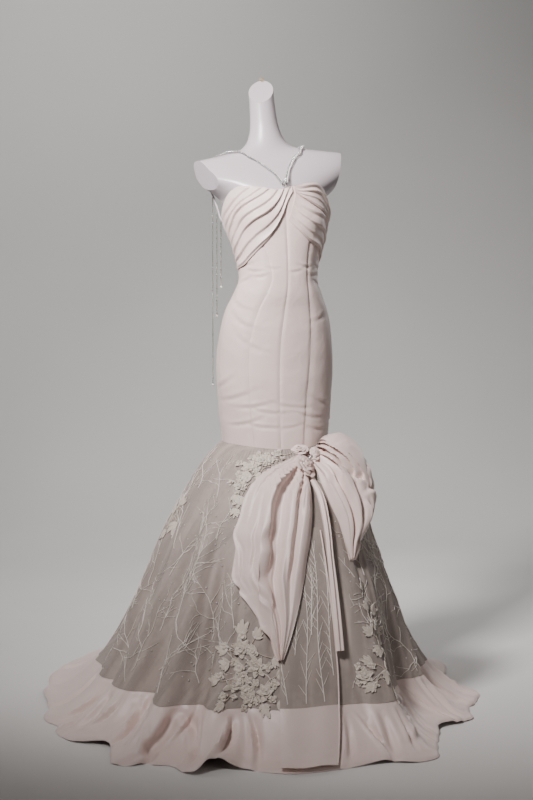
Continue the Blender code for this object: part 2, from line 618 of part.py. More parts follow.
def add_tails(skirt, parts):
    """The bow's wide pointed tail with its deep folds, and the narrow one beside it."""
    v = np.linspace(0.0, 1.0, 13)[:, None]
    u = np.linspace(0.0, 1.0, 9)[None, :]
    stations = np.linspace(0.0, 1.0, len(LEFT_TAIL))
    left_a, left_z, right_a, right_z = (curve(v, stations, LEFT_TAIL[:, c]) for c in range(4))
    angle = left_a + (right_a - left_a) * u
    height = left_z + (right_z - left_z) * u
    full = blend(0.0, 0.35, v)
    wave = 0.5 + 0.5 * np.cos(2 * math.pi * TAIL_FOLDS * u + TAIL_WIGGLE)
    stand = TAIL_SEWN + full * (TAIL_STAND + TAIL_FOLD * wave * (0.4 + 0.6 * u))
    walls = [skirt.at(skirt_share(height), angle, stand + extra) for extra in (SATIN, 0.0)]
    add_wall("bow_tail_left", *walls, "satin", parts)

    v = np.linspace(0.0, 1.0, 10)[:, None]
    u = np.linspace(0.0, 1.0, 4)[None, :]
    stations = np.linspace(0.0, 1.0, len(LONG_TAIL))
    left, right, height = (curve(v, stations, LONG_TAIL[:, c]) for c in range(3))
    angle = left + (right - left) * u
    stand = TAIL_SEWN + LONG_TAIL_STAND * blend(0.0, 0.3, v) + LONG_TAIL_PUFF * np.sin(math.pi * u)
    walls = [skirt.at(skirt_share(height), angle, stand + extra) for extra in (SATIN, 0.0)]
    add_wall("bow_tail_long", *walls, "satin", parts)


def add_loop(skirt, parts):
    """The puffed loop of the bow: a full front layer and a flatter one behind it."""
    v = np.linspace(0.0, 1.0, 12)[:, None]
    stations = np.linspace(0.0, 1.0, len(LOOP))
    in_a, in_z, in_d, out_a, out_z, out_d = (curve(v, stations, LOOP[:, c]) for c in range(6))
    full = np.sin(math.pi * np.clip(v, 0.0, 1.0)) ** 0.6
    for name, count, low, bulge, ripple, back in LOOP_LAYERS:
        u = np.linspace(low, 1.0, count + 1)[None, :]
        angle = in_a + (out_a - in_a) * u
        height = in_z + (out_z - in_z) * u
        stand = in_d + (out_d - in_d) * u + full * (bulge * np.sin(math.pi * u) + ripple * np.cos(6 * math.pi * u))
        stand = np.maximum(stand - back * (0.65 + 0.35 * full), TAIL_SEWN)
        walls = [skirt.at(skirt_share(height), angle, stand + extra) for extra in (SATIN, 0.0)]
        add_wall(name, *walls, "satin", parts)


def add_bloom(name, rings, colour, parts):
    """Closed solid from a top point, rings of points outwards, and back to a bottom point."""
    builder = bmesh.new()
    top = builder.verts.new(rings[0])
    bottom = builder.verts.new(rings[-1])
    loops = [[builder.verts.new(p) for p in ring] for ring in rings[1:-1]]
    count = len(loops[0])
    for j in range(count):
        k = (j + 1) % count
        builder.faces.new((top, loops[0][j], loops[0][k]))
        builder.faces.new((bottom, loops[-1][k], loops[-1][j]))
        for near, far in zip(loops, loops[1:]):
            builder.faces.new((near[j], far[j], far[k], near[k]))
    bmesh.ops.recalc_face_normals(builder, faces=builder.faces)
    add_object(name, builder, colour, parts)


def add_roses(skirt, parts):
    """Three rolled satin roses at the knot, with spiral petals raised on a flat back."""
    for name, angle, height, stand, wide, tall, thick in ROSES:
        share = float(skirt_share(height))
        centre = skirt.at(share, angle, stand)
        out = unit(skirt.at(share, angle, stand + 0.01) - centre)
        side = unit(np.cross((0.0, 0.0, 1.0), out))
        up = np.cross(out, side)
        turns = np.linspace(0.0, 2 * math.pi, 20, endpoint=False)
        rings = [centre + out * thick]
        for reach in ROSE_RINGS:
            swirl = ROSE_SWIRL * np.sin(3 * turns + 7.0 * reach)
            lift = thick * ((1 - reach ** 2) ** 0.5 * 0.75 + 0.25 + swirl)
            edge = reach * (1 + 0.07 * np.sin(5 * turns + 3.0 * reach))
            rings.append(centre + (wide / 2) * (edge * np.cos(turns))[:, None] * side
                         + (tall / 2) * (edge * np.sin(turns))[:, None] * up + lift[:, None] * out)
        back = 0.8 * (rings[-1] - centre) + centre
        rings.append(back - ((back - centre) @ out)[:, None] * out)
        rings.append(centre)
        add_bloom(name, rings, "satin", parts)


def add_flowers(skirt, parts):
    """Raised lace flowers that follow the faces of the skirt under them."""
    for number, (share, angle, radius, petals, turn, gap) in enumerate(FLOWERS, 1):
        centre = skirt.at(share, angle)
        per_share = np.linalg.norm(skirt.at(share + 0.01, angle) - centre) / 0.01
        per_degree = np.linalg.norm(skirt.at(share, angle + 1.0) - centre)
        turns = np.linspace(0.0, 2 * math.pi, petals * 4, endpoint=False)
        lobes = 0.74 + 0.26 * np.cos(petals * turns + math.radians(turn))

        def at(reach, out):
            down = share + radius * reach * lobes * np.sin(turns) / per_share
            along = angle + radius * reach * lobes * np.cos(turns) / per_degree
            return skirt.at(down, along, out)

        rings = [skirt.at(share, angle, gap + LACE * 2.0), at(0.5, gap + LACE * 0.9), at(1.0, gap + LACE),
                 at(1.0, gap), skirt.at(share, angle, gap)]
        add_bloom(f"lace_flower_{number:02d}", rings, "lace", parts)


def add_tube(name, points, radius, colour, parts, resolution=2):
    """Round cord through points, with filled caps."""
    data = bpy.data.curves.new(name, "CURVE")
    data.dimensions = "3D"
    data.bevel_depth = radius
    data.bevel_resolution = resolution
    data.use_fill_caps = True
    spline = data.splines.new("POLY")
    spline.points.add(len(points) - 1)
    for target, place in zip(spline.points, points):
        target.co = (*[float(c) for c in place], 1.0)
    made = bpy.data.objects.new(name, data)
    data.materials.append(material(colour))
    parts.objects.link(made)
    return made


def smooth_route(points, count):
    """Even points on a smooth curve through a route's own points."""
    points = np.asarray(points, float)
    reach = np.concatenate([[0.0], np.cumsum(np.linalg.norm(np.diff(points, axis=0), axis=1))])
    places = np.linspace(0.0, reach[-1], count)
    return np.stack([curve(places, reach, points[:, c]) for c in range(3)], -1)


def strap_route(table, side, stand_off, count):
    """From behind the brooch up over the shoulder, lying on the form."""
    rows = np.array(table)
    steps = np.linspace(0.0, 1.0, 40)
    stations = np.linspace(0.0, 1.0, len(rows))
    angle = curve(steps, stations, rows[:, 0])
    height = curve(steps, stations, rows[:, 1])
    start = np.array(STRAP_START) * (side, 1.0, 1.0)
    return smooth_route(np.vstack([start, lifted_form_point(angle, height, stand_off)]), count)


def lifted_form_point(angle, height, lift):
    """Point moved out from the form along its own normal."""
    across = form_point(angle + 1.0, height) - form_point(angle - 1.0, height)
    along = form_point(angle, height + 0.002) - form_point(angle, height - 0.002)
    return form_point(angle, height) + lift * unit(np.cross(across, along))


def add_jewels(parts):
    """Bead straps over the shoulders, brooch, link strap and the hanging bead strands."""
    left = strap_route(LEFT_STRAP, -1, LEFT_STAND_OFF, 22)
    add_tube("strap_left", left, STRAP_RADIUS, "jewels", parts, resolution=1)
    right = strap_route(RIGHT_STRAP, 1, RIGHT_STAND_OFF, 26)
    add_tube("strap_right", right, STRAP_RADIUS, "jewels", parts, resolution=1)
    centre = np.array(BROOCH)
    front = centre - np.array((0.0, BROOCH_THICKNESS, 0.0))
    add_tube("brooch", [centre, front], BROOCH_RADIUS, "jewels", parts)
    start = left[-1] + (SEAM + 2 * LINK_EASE) * unit(left[-1] - left[-2])
    angle, height = np.array(LINK_ENDS).T
    ends = body_point(angle, height, np.full(len(angle), LINK_RADIUS + LINK_EASE))
    link = smooth_route(np.vstack([start, LINK, ends]), 16)
    add_tube("link_strap", link, LINK_RADIUS, "jewels", parts, resolution=1)
    for number, (place, length) in enumerate(STRANDS, 1):
        beside = unit(np.cross(link[place + 1] - link[place - 1], (0.0, 0.0, 1.0)))
        top = link[place] + (LINK_RADIUS + STRAND_RADIUS + SEAM) * beside
        route = [top, top - np.array((0.0, 0.0, length))]
        add_tube(f"bead_strand_{number}", route, STRAND_RADIUS, "jewels", parts, resolution=0)


def add_stand(parts):
    """Round base plate and the pole that carries the form."""
    bpy.ops.mesh.primitive_cylinder_add(vertices=40, radius=BASE_RADIUS, depth=BASE_THICKNESS,
                                        location=(0.0, 0.0, BASE_THICKNESS / 2))
    base = bpy.context.object
    base.name = "stand_base"
    length = FORM_BOTTOM - BASE_THICKNESS - 2 * SEAM
    bpy.ops.mesh.primitive_cylinder_add(vertices=20, radius=POLE_RADIUS, depth=length,
                                        location=(0.0, 0.0, BASE_THICKNESS + SEAM + length / 2))
    pole = bpy.context.object
    pole.name = "stand_pole"
    for made in (base, pole):
        made.data.materials.append(material("steel"))
        for holder in list(made.users_collection):
            holder.objects.unlink(made)
        parts.objects.link(made)


def add_eye(parts):
    """Small brass eye standing on the neck's cut face."""
    bpy.ops.mesh.primitive_torus_add(major_segments=14, minor_segments=6, major_radius=EYE_RADIUS,
                                     minor_radius=EYE_WIRE, location=EYE_PLACE,
                                     rotation=(math.radians(90), 0.0, math.radians(EYE_TURN)))
    eye = bpy.context.object
    eye.name = "neck_eye"
    eye.data.materials.append(material("brass"))
    for holder in list(eye.users_collection):
        holder.objects.unlink(eye)
    parts.objects.link(eye)


def main():
    clear_scene()
    parts = bpy.data.collections.new("mermaid_gown")
    bpy.context.scene.collection.children.link(parts)
    angle, height = add_body(parts)
    add_form(parts, angle, height)
    skirt = add_skirt(parts)
    add_front_panel(skirt, parts)
    add_drapes(parts)
    add_tails(skirt, parts)
    add_loop(skirt, parts)
    add_roses(skirt, parts)
    add_flowers(skirt, parts)
    add_jewels(parts)
    add_stand(parts)
    add_eye(parts)


main()
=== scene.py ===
"""Mermaid gown in blush satin and embroidered tulle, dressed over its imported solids.

The gown faces -Y. Angles are in degrees round the body, 0 at the centre front and 90 at the
wearer's left side, towards +X. Each cloth piece is a thin wall on the form of its solid, with the
folds and creases that show. Seams, embroidery, sequins and beads are added here.
"""
import math

import bmesh
import bpy
import numpy as np
from mathutils import Matrix


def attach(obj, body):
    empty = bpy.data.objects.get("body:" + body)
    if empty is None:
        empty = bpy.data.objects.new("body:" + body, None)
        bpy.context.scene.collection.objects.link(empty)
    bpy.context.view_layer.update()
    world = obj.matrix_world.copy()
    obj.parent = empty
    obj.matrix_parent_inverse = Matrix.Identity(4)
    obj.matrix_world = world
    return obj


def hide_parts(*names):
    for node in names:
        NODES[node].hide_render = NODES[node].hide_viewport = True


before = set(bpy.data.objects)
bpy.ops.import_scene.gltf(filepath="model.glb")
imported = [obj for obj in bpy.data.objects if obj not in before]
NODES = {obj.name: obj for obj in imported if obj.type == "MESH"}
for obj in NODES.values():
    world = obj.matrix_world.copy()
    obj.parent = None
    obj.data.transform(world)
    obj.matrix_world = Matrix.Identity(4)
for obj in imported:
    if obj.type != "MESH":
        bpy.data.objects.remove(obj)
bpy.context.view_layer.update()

bl_info = {
    "name": "Mermaid gown",
    "version": (1, 0, 0),
    "blender": (4, 5, 0),
    "location": "3D View > Sidebar > Gown",
    "description": "Dresses the packed mermaid gown in satin, tulle, lace and beads",
    "category": "Object",
}

SATIN = 0.002
SEAM = 0.0003
# A crumpled sheet's longest row is cut back until it fills at least this share of its rectangle
LEAST_FILL = 0.31
# Gap between the form and the inside of the fitted body
FORM_EASE = 0.0005
JOINT_HEIGHT = 0.745
JOINT_DIP = 0.014
JOINT_SPREAD = 50.0
DRAPE_EASE = 0.0015
FORM_BOTTOM = 0.80
FORM_LEAVES = (1.345, 1.385)
TILT_STARTS = (1.43, 1.50)
SHOULDER_TILT = 0.085
BUST_RISE = 0.012
BUST_ANGLE = 33.0
BUST_SPREAD = 22.0
BUST_HEIGHT = 1.352
BUST_TALL = 0.050
HEM_CLEARANCE = 0.0023

# Body: height, half width, front depth, back depth, centre y
BODY = np.array([
    (0.700, 0.147, 0.130, 0.126, 0.000), (0.745, 0.147, 0.127, 0.124, 0.000),
    (0.800, 0.151, 0.121, 0.120, 0.000), (0.860, 0.156, 0.117, 0.122, 0.000),
    (0.935, 0.161, 0.115, 0.125, 0.000), (0.990, 0.160, 0.112, 0.119, -0.003),
    (1.045, 0.154, 0.107, 0.108, -0.009), (1.100, 0.141, 0.100, 0.096, -0.017),
    (1.150, 0.120, 0.091, 0.087, -0.031), (1.190, 0.107, 0.086, 0.081, -0.036),
    (1.225, 0.110, 0.089, 0.080, -0.032), (1.270, 0.121, 0.098, 0.082, -0.020),
    (1.320, 0.136, 0.106, 0.087, -0.007), (1.360, 0.146, 0.110, 0.092, 0.000),
    (1.400, 0.143, 0.108, 0.096, 0.000), (1.440, 0.138, 0.101, 0.098, 0.000),
    (1.470, 0.135, 0.095, 0.098, 0.000),
])
# Form above the bust, in the same columns
SHOULDERS = np.array([
    (1.340, 0.1380, 0.112, 0.084, 0.002), (1.360, 0.1380, 0.120, 0.079, 0.010),
    (1.380, 0.1355, 0.136, 0.077, 0.030), (1.400, 0.1405, 0.146, 0.072, 0.046),
    (1.415, 0.1550, 0.147, 0.067, 0.053), (1.430, 0.1740, 0.144, 0.063, 0.059),
    (1.460, 0.2160, 0.126, 0.057, 0.066), (1.485, 0.2380, 0.100, 0.053, 0.071),
    (1.505, 0.2400, 0.075, 0.048, 0.074), (1.521, 0.2280, 0.058, 0.045, 0.076),
    (1.533, 0.1600, 0.051, 0.043, 0.077), (1.550, 0.0740, 0.048, 0.042, 0.079),
    (1.580, 0.0480, 0.043, 0.040, 0.082), (1.620, 0.0385, 0.037, 0.037, 0.085),
    (1.680, 0.0350, 0.034, 0.034, 0.088), (1.780, 0.0330, 0.032, 0.032, 0.090),
])
# Flat cuts of the form: a point on each, and the way it faces
FORM_CUTS = (
    ((-0.1938, 0.070, 1.480), (-0.933, -0.250, -0.259)),
    ((0.1885, 0.070, 1.492), (0.953, 0.0, -0.302)),
    ((-0.017, 0.088, 1.708), (-0.30, -0.66, 0.69)),
)
CUT_FLOOR = 1.360
FORM_SIDES = 104
# Lowest and highest ring over the form's lower edge, and how many
FORM_RINGS = (0.806, 1.776, 140)
NECKLINE = np.array([
    (-180, 1.285), (-130, 1.300), (-105, 1.332), (-90, 1.365), (-80, 1.398), (-67, 1.421), (-54, 1.432),
    (-26, 1.429), (-8, 1.423), (7, 1.431), (29, 1.443), (41, 1.445), (53, 1.438), (66, 1.417),
    (78, 1.380), (95, 1.340), (130, 1.300), (180, 1.285),
])
# Body seams: height, then the angle of each seam from the centre back round by -X
SEAMS = np.array([
    (0.700, -180, -142, -90, -34, -6, 20, 90, 142, 180),
    (0.850, -180, -142, -90, -37, -6, 23, 90, 142, 180),
    (1.000, -180, -142, -90, -37, -5, 28, 90, 142, 180),
    (1.100, -180, -144, -90, -31, -1, 31, 90, 144, 180),
    (1.190, -180, -147, -90, -21, 3, 36, 90, 147, 180),
    (1.280, -180, -147, -90, -29, 2, 35, 90, 147, 180),
    (1.470, -180, -146, -90, -36, -2, 33, 90, 146, 180),
])
PANEL_NAMES = ("back_left", "side_back_left", "side_front_left", "front_left",
               "front_right", "side_front_right", "side_back_right", "back_right")
PANEL_COLUMNS = 22
BODY_ROWS = 184

# Skirt: share of the way, front radius and height, back radius and height, narrower on +X
SKIRT = np.array([
    (0.00, 0.147, 0.745, 0.147, 0.745, 0.000), (0.05, 0.178, 0.715, 0.172, 0.715, 0.009),
    (0.12, 0.214, 0.668, 0.208, 0.664, 0.019), (0.22, 0.258, 0.590, 0.256, 0.582, 0.029),
    (0.34, 0.303, 0.500, 0.308, 0.482, 0.038), (0.46, 0.343, 0.405, 0.368, 0.376, 0.044),
    (0.58, 0.381, 0.308, 0.452, 0.258, 0.048), (0.70, 0.418, 0.208, 0.575, 0.142, 0.050),
    (0.82, 0.462, 0.112, 0.742, 0.048, 0.052), (0.88, 0.500, 0.066, 0.812, 0.024, 0.054),
    (0.93, 0.540, 0.032, 0.868, 0.011, 0.056), (0.97, 0.578, 0.011, 0.915, 0.004, 0.058),
    (1.00, 0.610, 0.000, 0.950, 0.000, 0.060),
])
NARROW_SIDE = 82.0
NARROW_SPREAD = 44.0
BAND_START = 0.82
TRAIN_START = 98.0
TRAIN_RUN = 82.0
# Folds: angle, half width, rise outwards at the hem, share where it starts
FOLDS = np.array([
    (-168, 9, 0.030, 0.45), (-150, 8, 0.026, 0.50), (-131, 9, 0.030, 0.40), (-112, 8, 0.024, 0.45),
    (-93, 8, 0.028, 0.12), (-77, 6, 0.022, 0.45), (-63, 6, -0.026, 0.35), (-49, 7, 0.040, 0.22),
    (-32, 5, 0.040, 0.50), (-22, 5, -0.020, 0.60), (-9, 6, 0.012, 0.30), (10, 7, -0.010, 0.45),
    (22, 7, 0.040, 0.30), (46, 11, -0.085, 0.40), (67, 6, -0.014, 0.35),
    (88, 9, 0.050, 0.55), (103, 7, -0.012, 0.50), (120, 10, 0.085, 0.55), (140, 8, 0.018, 0.50),
    (157, 9, 0.030, 0.45),
])
# Arches of the hem: angle, half width, lift
ARCHES = np.array([
    (-62, 6, 0.012), (-27, 3.6, 0.036), (13, 5, 0.008), (50, 7, 0.012), (101, 7, 0.010), (-112, 7, 0.008),
])
# Lesser folds of the skirt: angle, half width, rise, share where it starts and where it fades
SOFT_FOLDS = np.array([
    (-38.0, 2.6, -0.020, 0.30, 1.02), (-47.5, 3.6, 0.016, 0.18, 1.05), (-60.0, 3.0, -0.014, 0.16, 1.05),
    (-70.0, 3.2, 0.012, 0.14, 1.08), (-83.0, 3.0, -0.012, 0.12, 1.04), (26.0, 2.8, 0.010, 0.50, 1.05),
    (34.0, 2.8, -0.012, 0.50, 1.04), (43.0, 3.0, 0.012, 0.52, 1.04), (62.0, 3.4, 0.012, 0.40, 1.06),
    (74.0, 3.0, -0.012, 0.30, 1.04), (100.0, 4.0, 0.012, 0.16, 1.06), (-118.0, 4.0, 0.012, 0.16, 1.06),
    (126.0, 4.0, -0.012, 0.20, 1.06), (-148.0, 4.0, -0.012, 0.20, 1.06), (172.0, 4.0, 0.012, 0.18, 1.06),
    (-44.5, 1.5, -0.014, 0.70, 1.30), (-51.0, 1.6, 0.009, 0.72, 1.30), (-24, 1.3, 0.008, 0.82, 1.30),
    (-30.5, 1.3, 0.008, 0.82, 1.30), (-174, 2.6, 0.0050, 0.20, 1.10), (-159, 2.2, -0.0050, 0.30, 1.00),
    (-142, 2.8, 0.0055, 0.15, 1.05),
    (-123, 2.2, -0.0050, 0.25, 0.95), (-104, 2.4, 0.0050, 0.10, 1.10), (-86, 1.7, -0.0050, 0.20, 1.05),
    (-81, 1.5, 0.0040, 0.35, 1.10), (-71, 1.6, -0.0045, 0.12, 0.92), (-67, 1.4, 0.0040, 0.45, 1.10),
    (-57, 1.6, -0.0060, 0.16, 1.10), (-52, 1.3, 0.0035, 0.10, 0.80), (-43, 1.6, -0.0060, 0.22, 1.10),
    (-38, 1.2, 0.0040, 0.40, 1.10), (-28, 1.3, -0.0050, 0.35, 1.10), (-17, 1.4, 0.0035, 0.20, 0.85),
    (15, 1.3, -0.0035, 0.40, 1.10), (29, 1.5, -0.0045, 0.25, 1.10), (36, 1.5, 0.0045, 0.30, 1.00),
    (55, 1.8, 0.0050, 0.30, 1.10), (61, 1.5, -0.0045, 0.20, 0.95), (76, 1.7, 0.0050, 0.30, 1.10),
    (83, 1.6, -0.0050, 0.25, 1.05), (95, 1.8, -0.0045, 0.15, 1.05), (111, 2.2, 0.0045, 0.30, 1.10),
    (130, 2.2, -0.0050, 0.30, 1.00), (149, 2.4, 0.0050, 0.20, 1.05), (166, 2.4, -0.0050, 0.25, 1.10),
])
SOFT_DEEPER = 1.25
GATHER_COUNT = 118
GATHER_DEPTH = 0.0016
# Skirt gores: name, angle at each side
GORES = (("back_left", -180.0, -92.0), ("front_left", -92.0, -5.0),
         ("front_right", -5.0, 90.0), ("back_right", 90.0, 180.0))
# Loose front panel: share of the way, left angle, right angle, height over the skirt
FRONT_PANEL = np.array([
    (0.29, -12.0, 11.0, 0.0012), (0.46, -12.0, 10.0, 0.004), (0.70, -12.0, 8.5, 0.008),
    (0.82, -12.0, 6.5, 0.011), (1.00, -12.5, 0.5, 0.013),
])
PANEL_PUFF = 0.0016

# Creases of the body: angle, height, half length, half width, depth, slope in degrees
BODY_CREASES = np.array([
    (-62, 1.222, 0.034, 0.0045, -0.0016, 4), (-50, 1.205, 0.030, 0.0040, -0.0015, -6),
    (-38, 1.190, 0.026, 0.0040, -0.0014, 5), (-20, 1.212, 0.022, 0.0035, -0.0011, -8),
    (14, 1.204, 0.024, 0.0040, -0.0012, 6), (30, 1.218, 0.026, 0.0040, -0.0013, -5),
    (58, 1.196, 0.032, 0.0045, -0.0016, 7), (72, 1.215, 0.030, 0.0040, -0.0014, -4),
    (-70, 1.178, 0.036, 0.0050, -0.0015, 14), (66, 1.172, 0.034, 0.0050, -0.0014, -12),
    (-66, 1.118, 0.046, 0.0060, -0.0014, -26), (-52, 1.070, 0.050, 0.0065, -0.0014, -30),
    (-40, 1.012, 0.042, 0.0060, -0.0012, -34), (54, 1.088, 0.042, 0.0060, -0.0012, 28),
    (-74, 0.900, 0.046, 0.0070, -0.0015, 20), (-55, 0.865, 0.050, 0.0065, -0.0016, 14),
    (-34, 0.842, 0.044, 0.0055, -0.0016, 8), (-14, 0.826, 0.040, 0.0050, -0.0015, -6),
    (6, 0.842, 0.038, 0.0050, -0.0014, -10), (26, 0.815, 0.040, 0.0055, -0.0016, -14),
    (48, 0.850, 0.044, 0.0060, -0.0014, -18), (-46, 0.796, 0.040, 0.0050, -0.0018, 12),
    (-22, 0.788, 0.034, 0.0045, -0.0016, -4), (2, 0.786, 0.032, 0.0045, -0.0014, 7),
    (38, 0.780, 0.036, 0.0050, -0.0016, -9), (70, 0.800, 0.040, 0.0055, -0.0014, -12),
    (-150, 1.206, 0.034, 0.0045, -0.0015, 6), (-118, 1.190, 0.030, 0.0045, -0.0014, -7),
    (148, 1.212, 0.034, 0.0045, -0.0015, -6), (118, 1.186, 0.030, 0.0045, -0.0014, 8),
    (-140, 0.820, 0.048, 0.0060, -0.0016, 10), (-112, 0.846, 0.044, 0.0060, -0.0014, 16),
    (134, 0.828, 0.048, 0.0060, -0.0016, -12), (108, 0.800, 0.044, 0.0060, -0.0014, -8),
])
EASE = 0.0010
DEEPEST = -0.0014
CREASE_RADIUS = 0.125
CREASE_DEEPER = 1.35
LIP = 0.65
LIP_PLACE = 1.7
CREASE_SCALE = np.array((math.radians(CREASE_RADIUS), 1.0, 1.0, 1.0, CREASE_DEEPER, 1.0))

# Creases of the satin band: angle, share, half length, half width, depth, slope in degrees
BAND_CREASES = np.array([
    (-60.0, 0.890, 0.080, 0.012, -0.0075, 83), (-44.5, 0.880, 0.085, 0.012, -0.0095, 94),
    (-37.7, 0.885, 0.090, 0.012, -0.0080, 47), (-25.4, 0.905, 0.075, 0.012, -0.0080, 85),
    (-18.3, 0.916, 0.075, 0.011, -0.0065, 79), (7.0, 0.930, 0.060, 0.010, -0.0060, 112),
    (18.0, 0.920, 0.075, 0.012, -0.0085, 105), (34.0, 0.896, 0.090, 0.013, -0.0085, 152),
    (-75.0, 0.900, 0.080, 0.012, -0.0070, 88), (60.0, 0.905, 0.080, 0.012, -0.0070, 98),
    (-171, 0.93, 0.075, 0.009, -0.006, 84), (-155, 0.90, 0.060, 0.008, -0.005, 96),
    (-137, 0.94, 0.080, 0.010, -0.006, 82), (-119, 0.90, 0.060, 0.008, -0.005, 98),
    (-101, 0.93, 0.070, 0.009, -0.006, 85), (-86, 0.92, 0.060, 0.007, -0.005, 100),
    (-79, 0.95, 0.055, 0.007, -0.006, 78), (-70, 0.90, 0.060, 0.008, -0.006, 104),
    (-60, 0.93, 0.070, 0.008, -0.007, 72), (-54, 0.90, 0.050, 0.006, -0.005, 96),
    (-45, 0.95, 0.060, 0.008, -0.008, 70), (-40, 0.88, 0.050, 0.006, -0.005, 108),
    (-34, 0.92, 0.060, 0.007, -0.006, 82), (-26, 0.94, 0.070, 0.008, -0.008, 98),
    (-19, 0.90, 0.050, 0.006, -0.004, 76), (15, 0.92, 0.060, 0.007, -0.005, 80),
    (24, 0.90, 0.060, 0.008, -0.006, 101), (33, 0.94, 0.060, 0.008, -0.007, 74),
    (42, 0.91, 0.060, 0.007, -0.005, 95), (54, 0.93, 0.060, 0.008, -0.007, 80),
    (64, 0.90, 0.060, 0.008, -0.006, 102), (77, 0.94, 0.060, 0.008, -0.007, 76),
    (87, 0.91, 0.070, 0.008, -0.006, 97), (99, 0.93, 0.070, 0.009, -0.007, 82),
    (113, 0.90, 0.060, 0.008, -0.006, 99), (131, 0.94, 0.080, 0.010, -0.007, 80),
    (147, 0.91, 0.070, 0.009, -0.005, 98), (164, 0.93, 0.070, 0.009, -0.006, 84),
])

BAND_RADIUS = 0.60
BAND_DEEPER = 1.6
BAND_ROWS = BAND_CREASES * (math.radians(BAND_RADIUS), 1.0, 1.0, 1.0, BAND_DEEPER, 1.0)

PANEL_STEMS = 6
# Rows of embroidered stems: share where they start, how many round the skirt, steps up
BRANCH_ROWS = ((0.80, 34, 15), (0.66, 30, 14), (0.52, 26, 12), (0.38, 20, 11), (0.24, 14, 9))

# Lower edge of each bust drape: angle, height
LEFT_DRAPE_EDGE = np.array([
    (-92, 1.212), (-68, 1.222), (-46, 1.248), (-31, 1.272), (-21, 1.291), (-12, 1.316),
    (-5, 1.345), (2, 1.388), (10, 1.424),
])
RIGHT_UPPER_EDGE = np.array([(9, 1.421), (18, 1.404), (28, 1.390), (48, 1.364), (66, 1.340), (89, 1.322)])
RIGHT_LOWER_EDGE = np.array([(0, 1.352), (10, 1.325), (30, 1.290), (56, 1.268), (80, 1.240), (89, 1.232)])
# Folds of each drape: distance over its lower edge at the left, middle and right, and lift
LEFT_FOLDS = (
    (0.020, 0.030, 0.020, 0.0052), (0.039, 0.067, 0.052, 0.0062), (0.064, 0.092, 0.086, 0.0042),
    (0.082, 0.124, 0.118, 0.0055), (0.108, 0.142, 0.140, 0.0040), (0.130, 0.166, 0.164, 0.0046),
)
RIGHT_UPPER_FOLDS = (
    (0.0045, 0.024, 0.010, 0.0034), (0.0085, 0.046, 0.018, 0.0046), (0.0115, 0.061, 0.0245, 0.0036),
)
RIGHT_LOWER_FOLDS = (
    (0.016, 0.020, 0.018, 0.0040), (0.036, 0.043, 0.037, 0.0050), (0.052, 0.068, 0.062, 0.0042),
)
DRAPE_TOP_GAP = 0.0015
DRAPE_PAIR_GAP = 0.004

# Left tail of the bow: left angle and height, right angle and height
LEFT_TAIL = np.array([
    (13.0, 0.733, 11.6, 0.696), (-2.0, 0.716, 11.2, 0.668), (-14.3, 0.696, 10.6, 0.640),
    (-26.4, 0.658, 9.0, 0.605), (-31.6, 0.608, 7.5, 0.570), (-32.8, 0.558, 5.5, 0.534),
    (-34.4, 0.522, 3.5, 0.498), (-32.0, 0.480, 1.1, 0.460), (-32.2, 0.425, -0.5, 0.425),
    (-27.2, 0.378, -2.6, 0.385), (-18.4, 0.305, -6.0, 0.318), (-12.6, 0.221, -10.6, 0.224),
])
TAIL_SEWN = 0.0008
TAIL_STAND = 0.0115
TAIL_FOLD = 0.011
TAIL_FOLDS = 2.5
TAIL_WIGGLE = 1.2
# Folds of the wide tail where it leaves the knot: share across, share of the full height
TAIL_PROFILE = np.array([
    (0.00, 0.14), (0.12, 0.30), (0.28, 0.60), (0.415, 1.00), (0.450, 0.62), (0.475, 0.12), (0.55, 0.00),
    (0.62, 0.22), (0.68, 0.74), (0.73, 0.80), (0.79, 0.30), (0.86, 0.72), (0.93, 0.56), (1.00, 0.16),
])
TAIL_HIGH = 0.034
TAIL_CALM = (0.66, 0.96)
# Creases of the wide tail: share across, share down, half length, half width, depth, slope
TAIL_CREASES = np.array([
    (0.16, 0.22, 0.16, 0.030, -0.0030, 78), (0.30, 0.60, 0.16, 0.030, -0.0036, 100),
    (0.12, 0.66, 0.10, 0.030, -0.0030, 60), (0.74, 0.78, 0.16, 0.030, -0.0040, 84),
    (0.36, 0.80, 0.14, 0.030, -0.0034, 70), (0.58, 0.70, 0.12, 0.026, -0.0036, 98),
    (0.86, 0.30, 0.16, 0.018, -0.0030, 92), (0.56, 0.90, 0.08, 0.030, -0.0026, 60),
])
# Long tail: left angle, right angle, height
LONG_TAIL = np.array([
    (12.4, 16.6, 0.672), (12.0, 17.0, 0.620), (11.6, 15.4, 0.540), (10.4, 13.4, 0.460),
    (9.2, 12.4, 0.360), (8.0, 11.4, 0.236),
])
LONG_TAIL_STAND = 0.016
LONG_TAIL_PUFF = 0.003
# Bow loop from knot to tip: inner angle, height and stand-off, then the outer edge's
LOOP = np.array([
    (17.6, 0.704, 0.0036, 28.0, 0.735, 0.0058), (18.2, 0.690, 0.010, 35.6, 0.738, 0.036),
    (17.8, 0.668, 0.014, 39.0, 0.731, 0.072), (17.4, 0.640, 0.018, 41.7, 0.705, 0.084),
    (18.2, 0.606, 0.020, 44.7, 0.657, 0.080), (19.4, 0.572, 0.020, 46.3, 0.611, 0.074),
    (21.0, 0.541, 0.019, 43.6, 0.570, 0.064), (22.0, 0.510, 0.016, 39.0, 0.532, 0.048),
    (22.8, 0.480, 0.012, 32.0, 0.486, 0.016), (24.0, 0.450, 0.008, 26.6, 0.446, 0.009),
])
# Layers of the loop: solid, columns, share where it starts, puff, place behind the front one
LOOP_LAYERS = (
    ("bow_loop_front", 84, 0.00, 0.024, 0.0),
    ("bow_loop_back", 36, 0.04, -0.012, 0.0060),
)
LOOP_GAP = 0.004
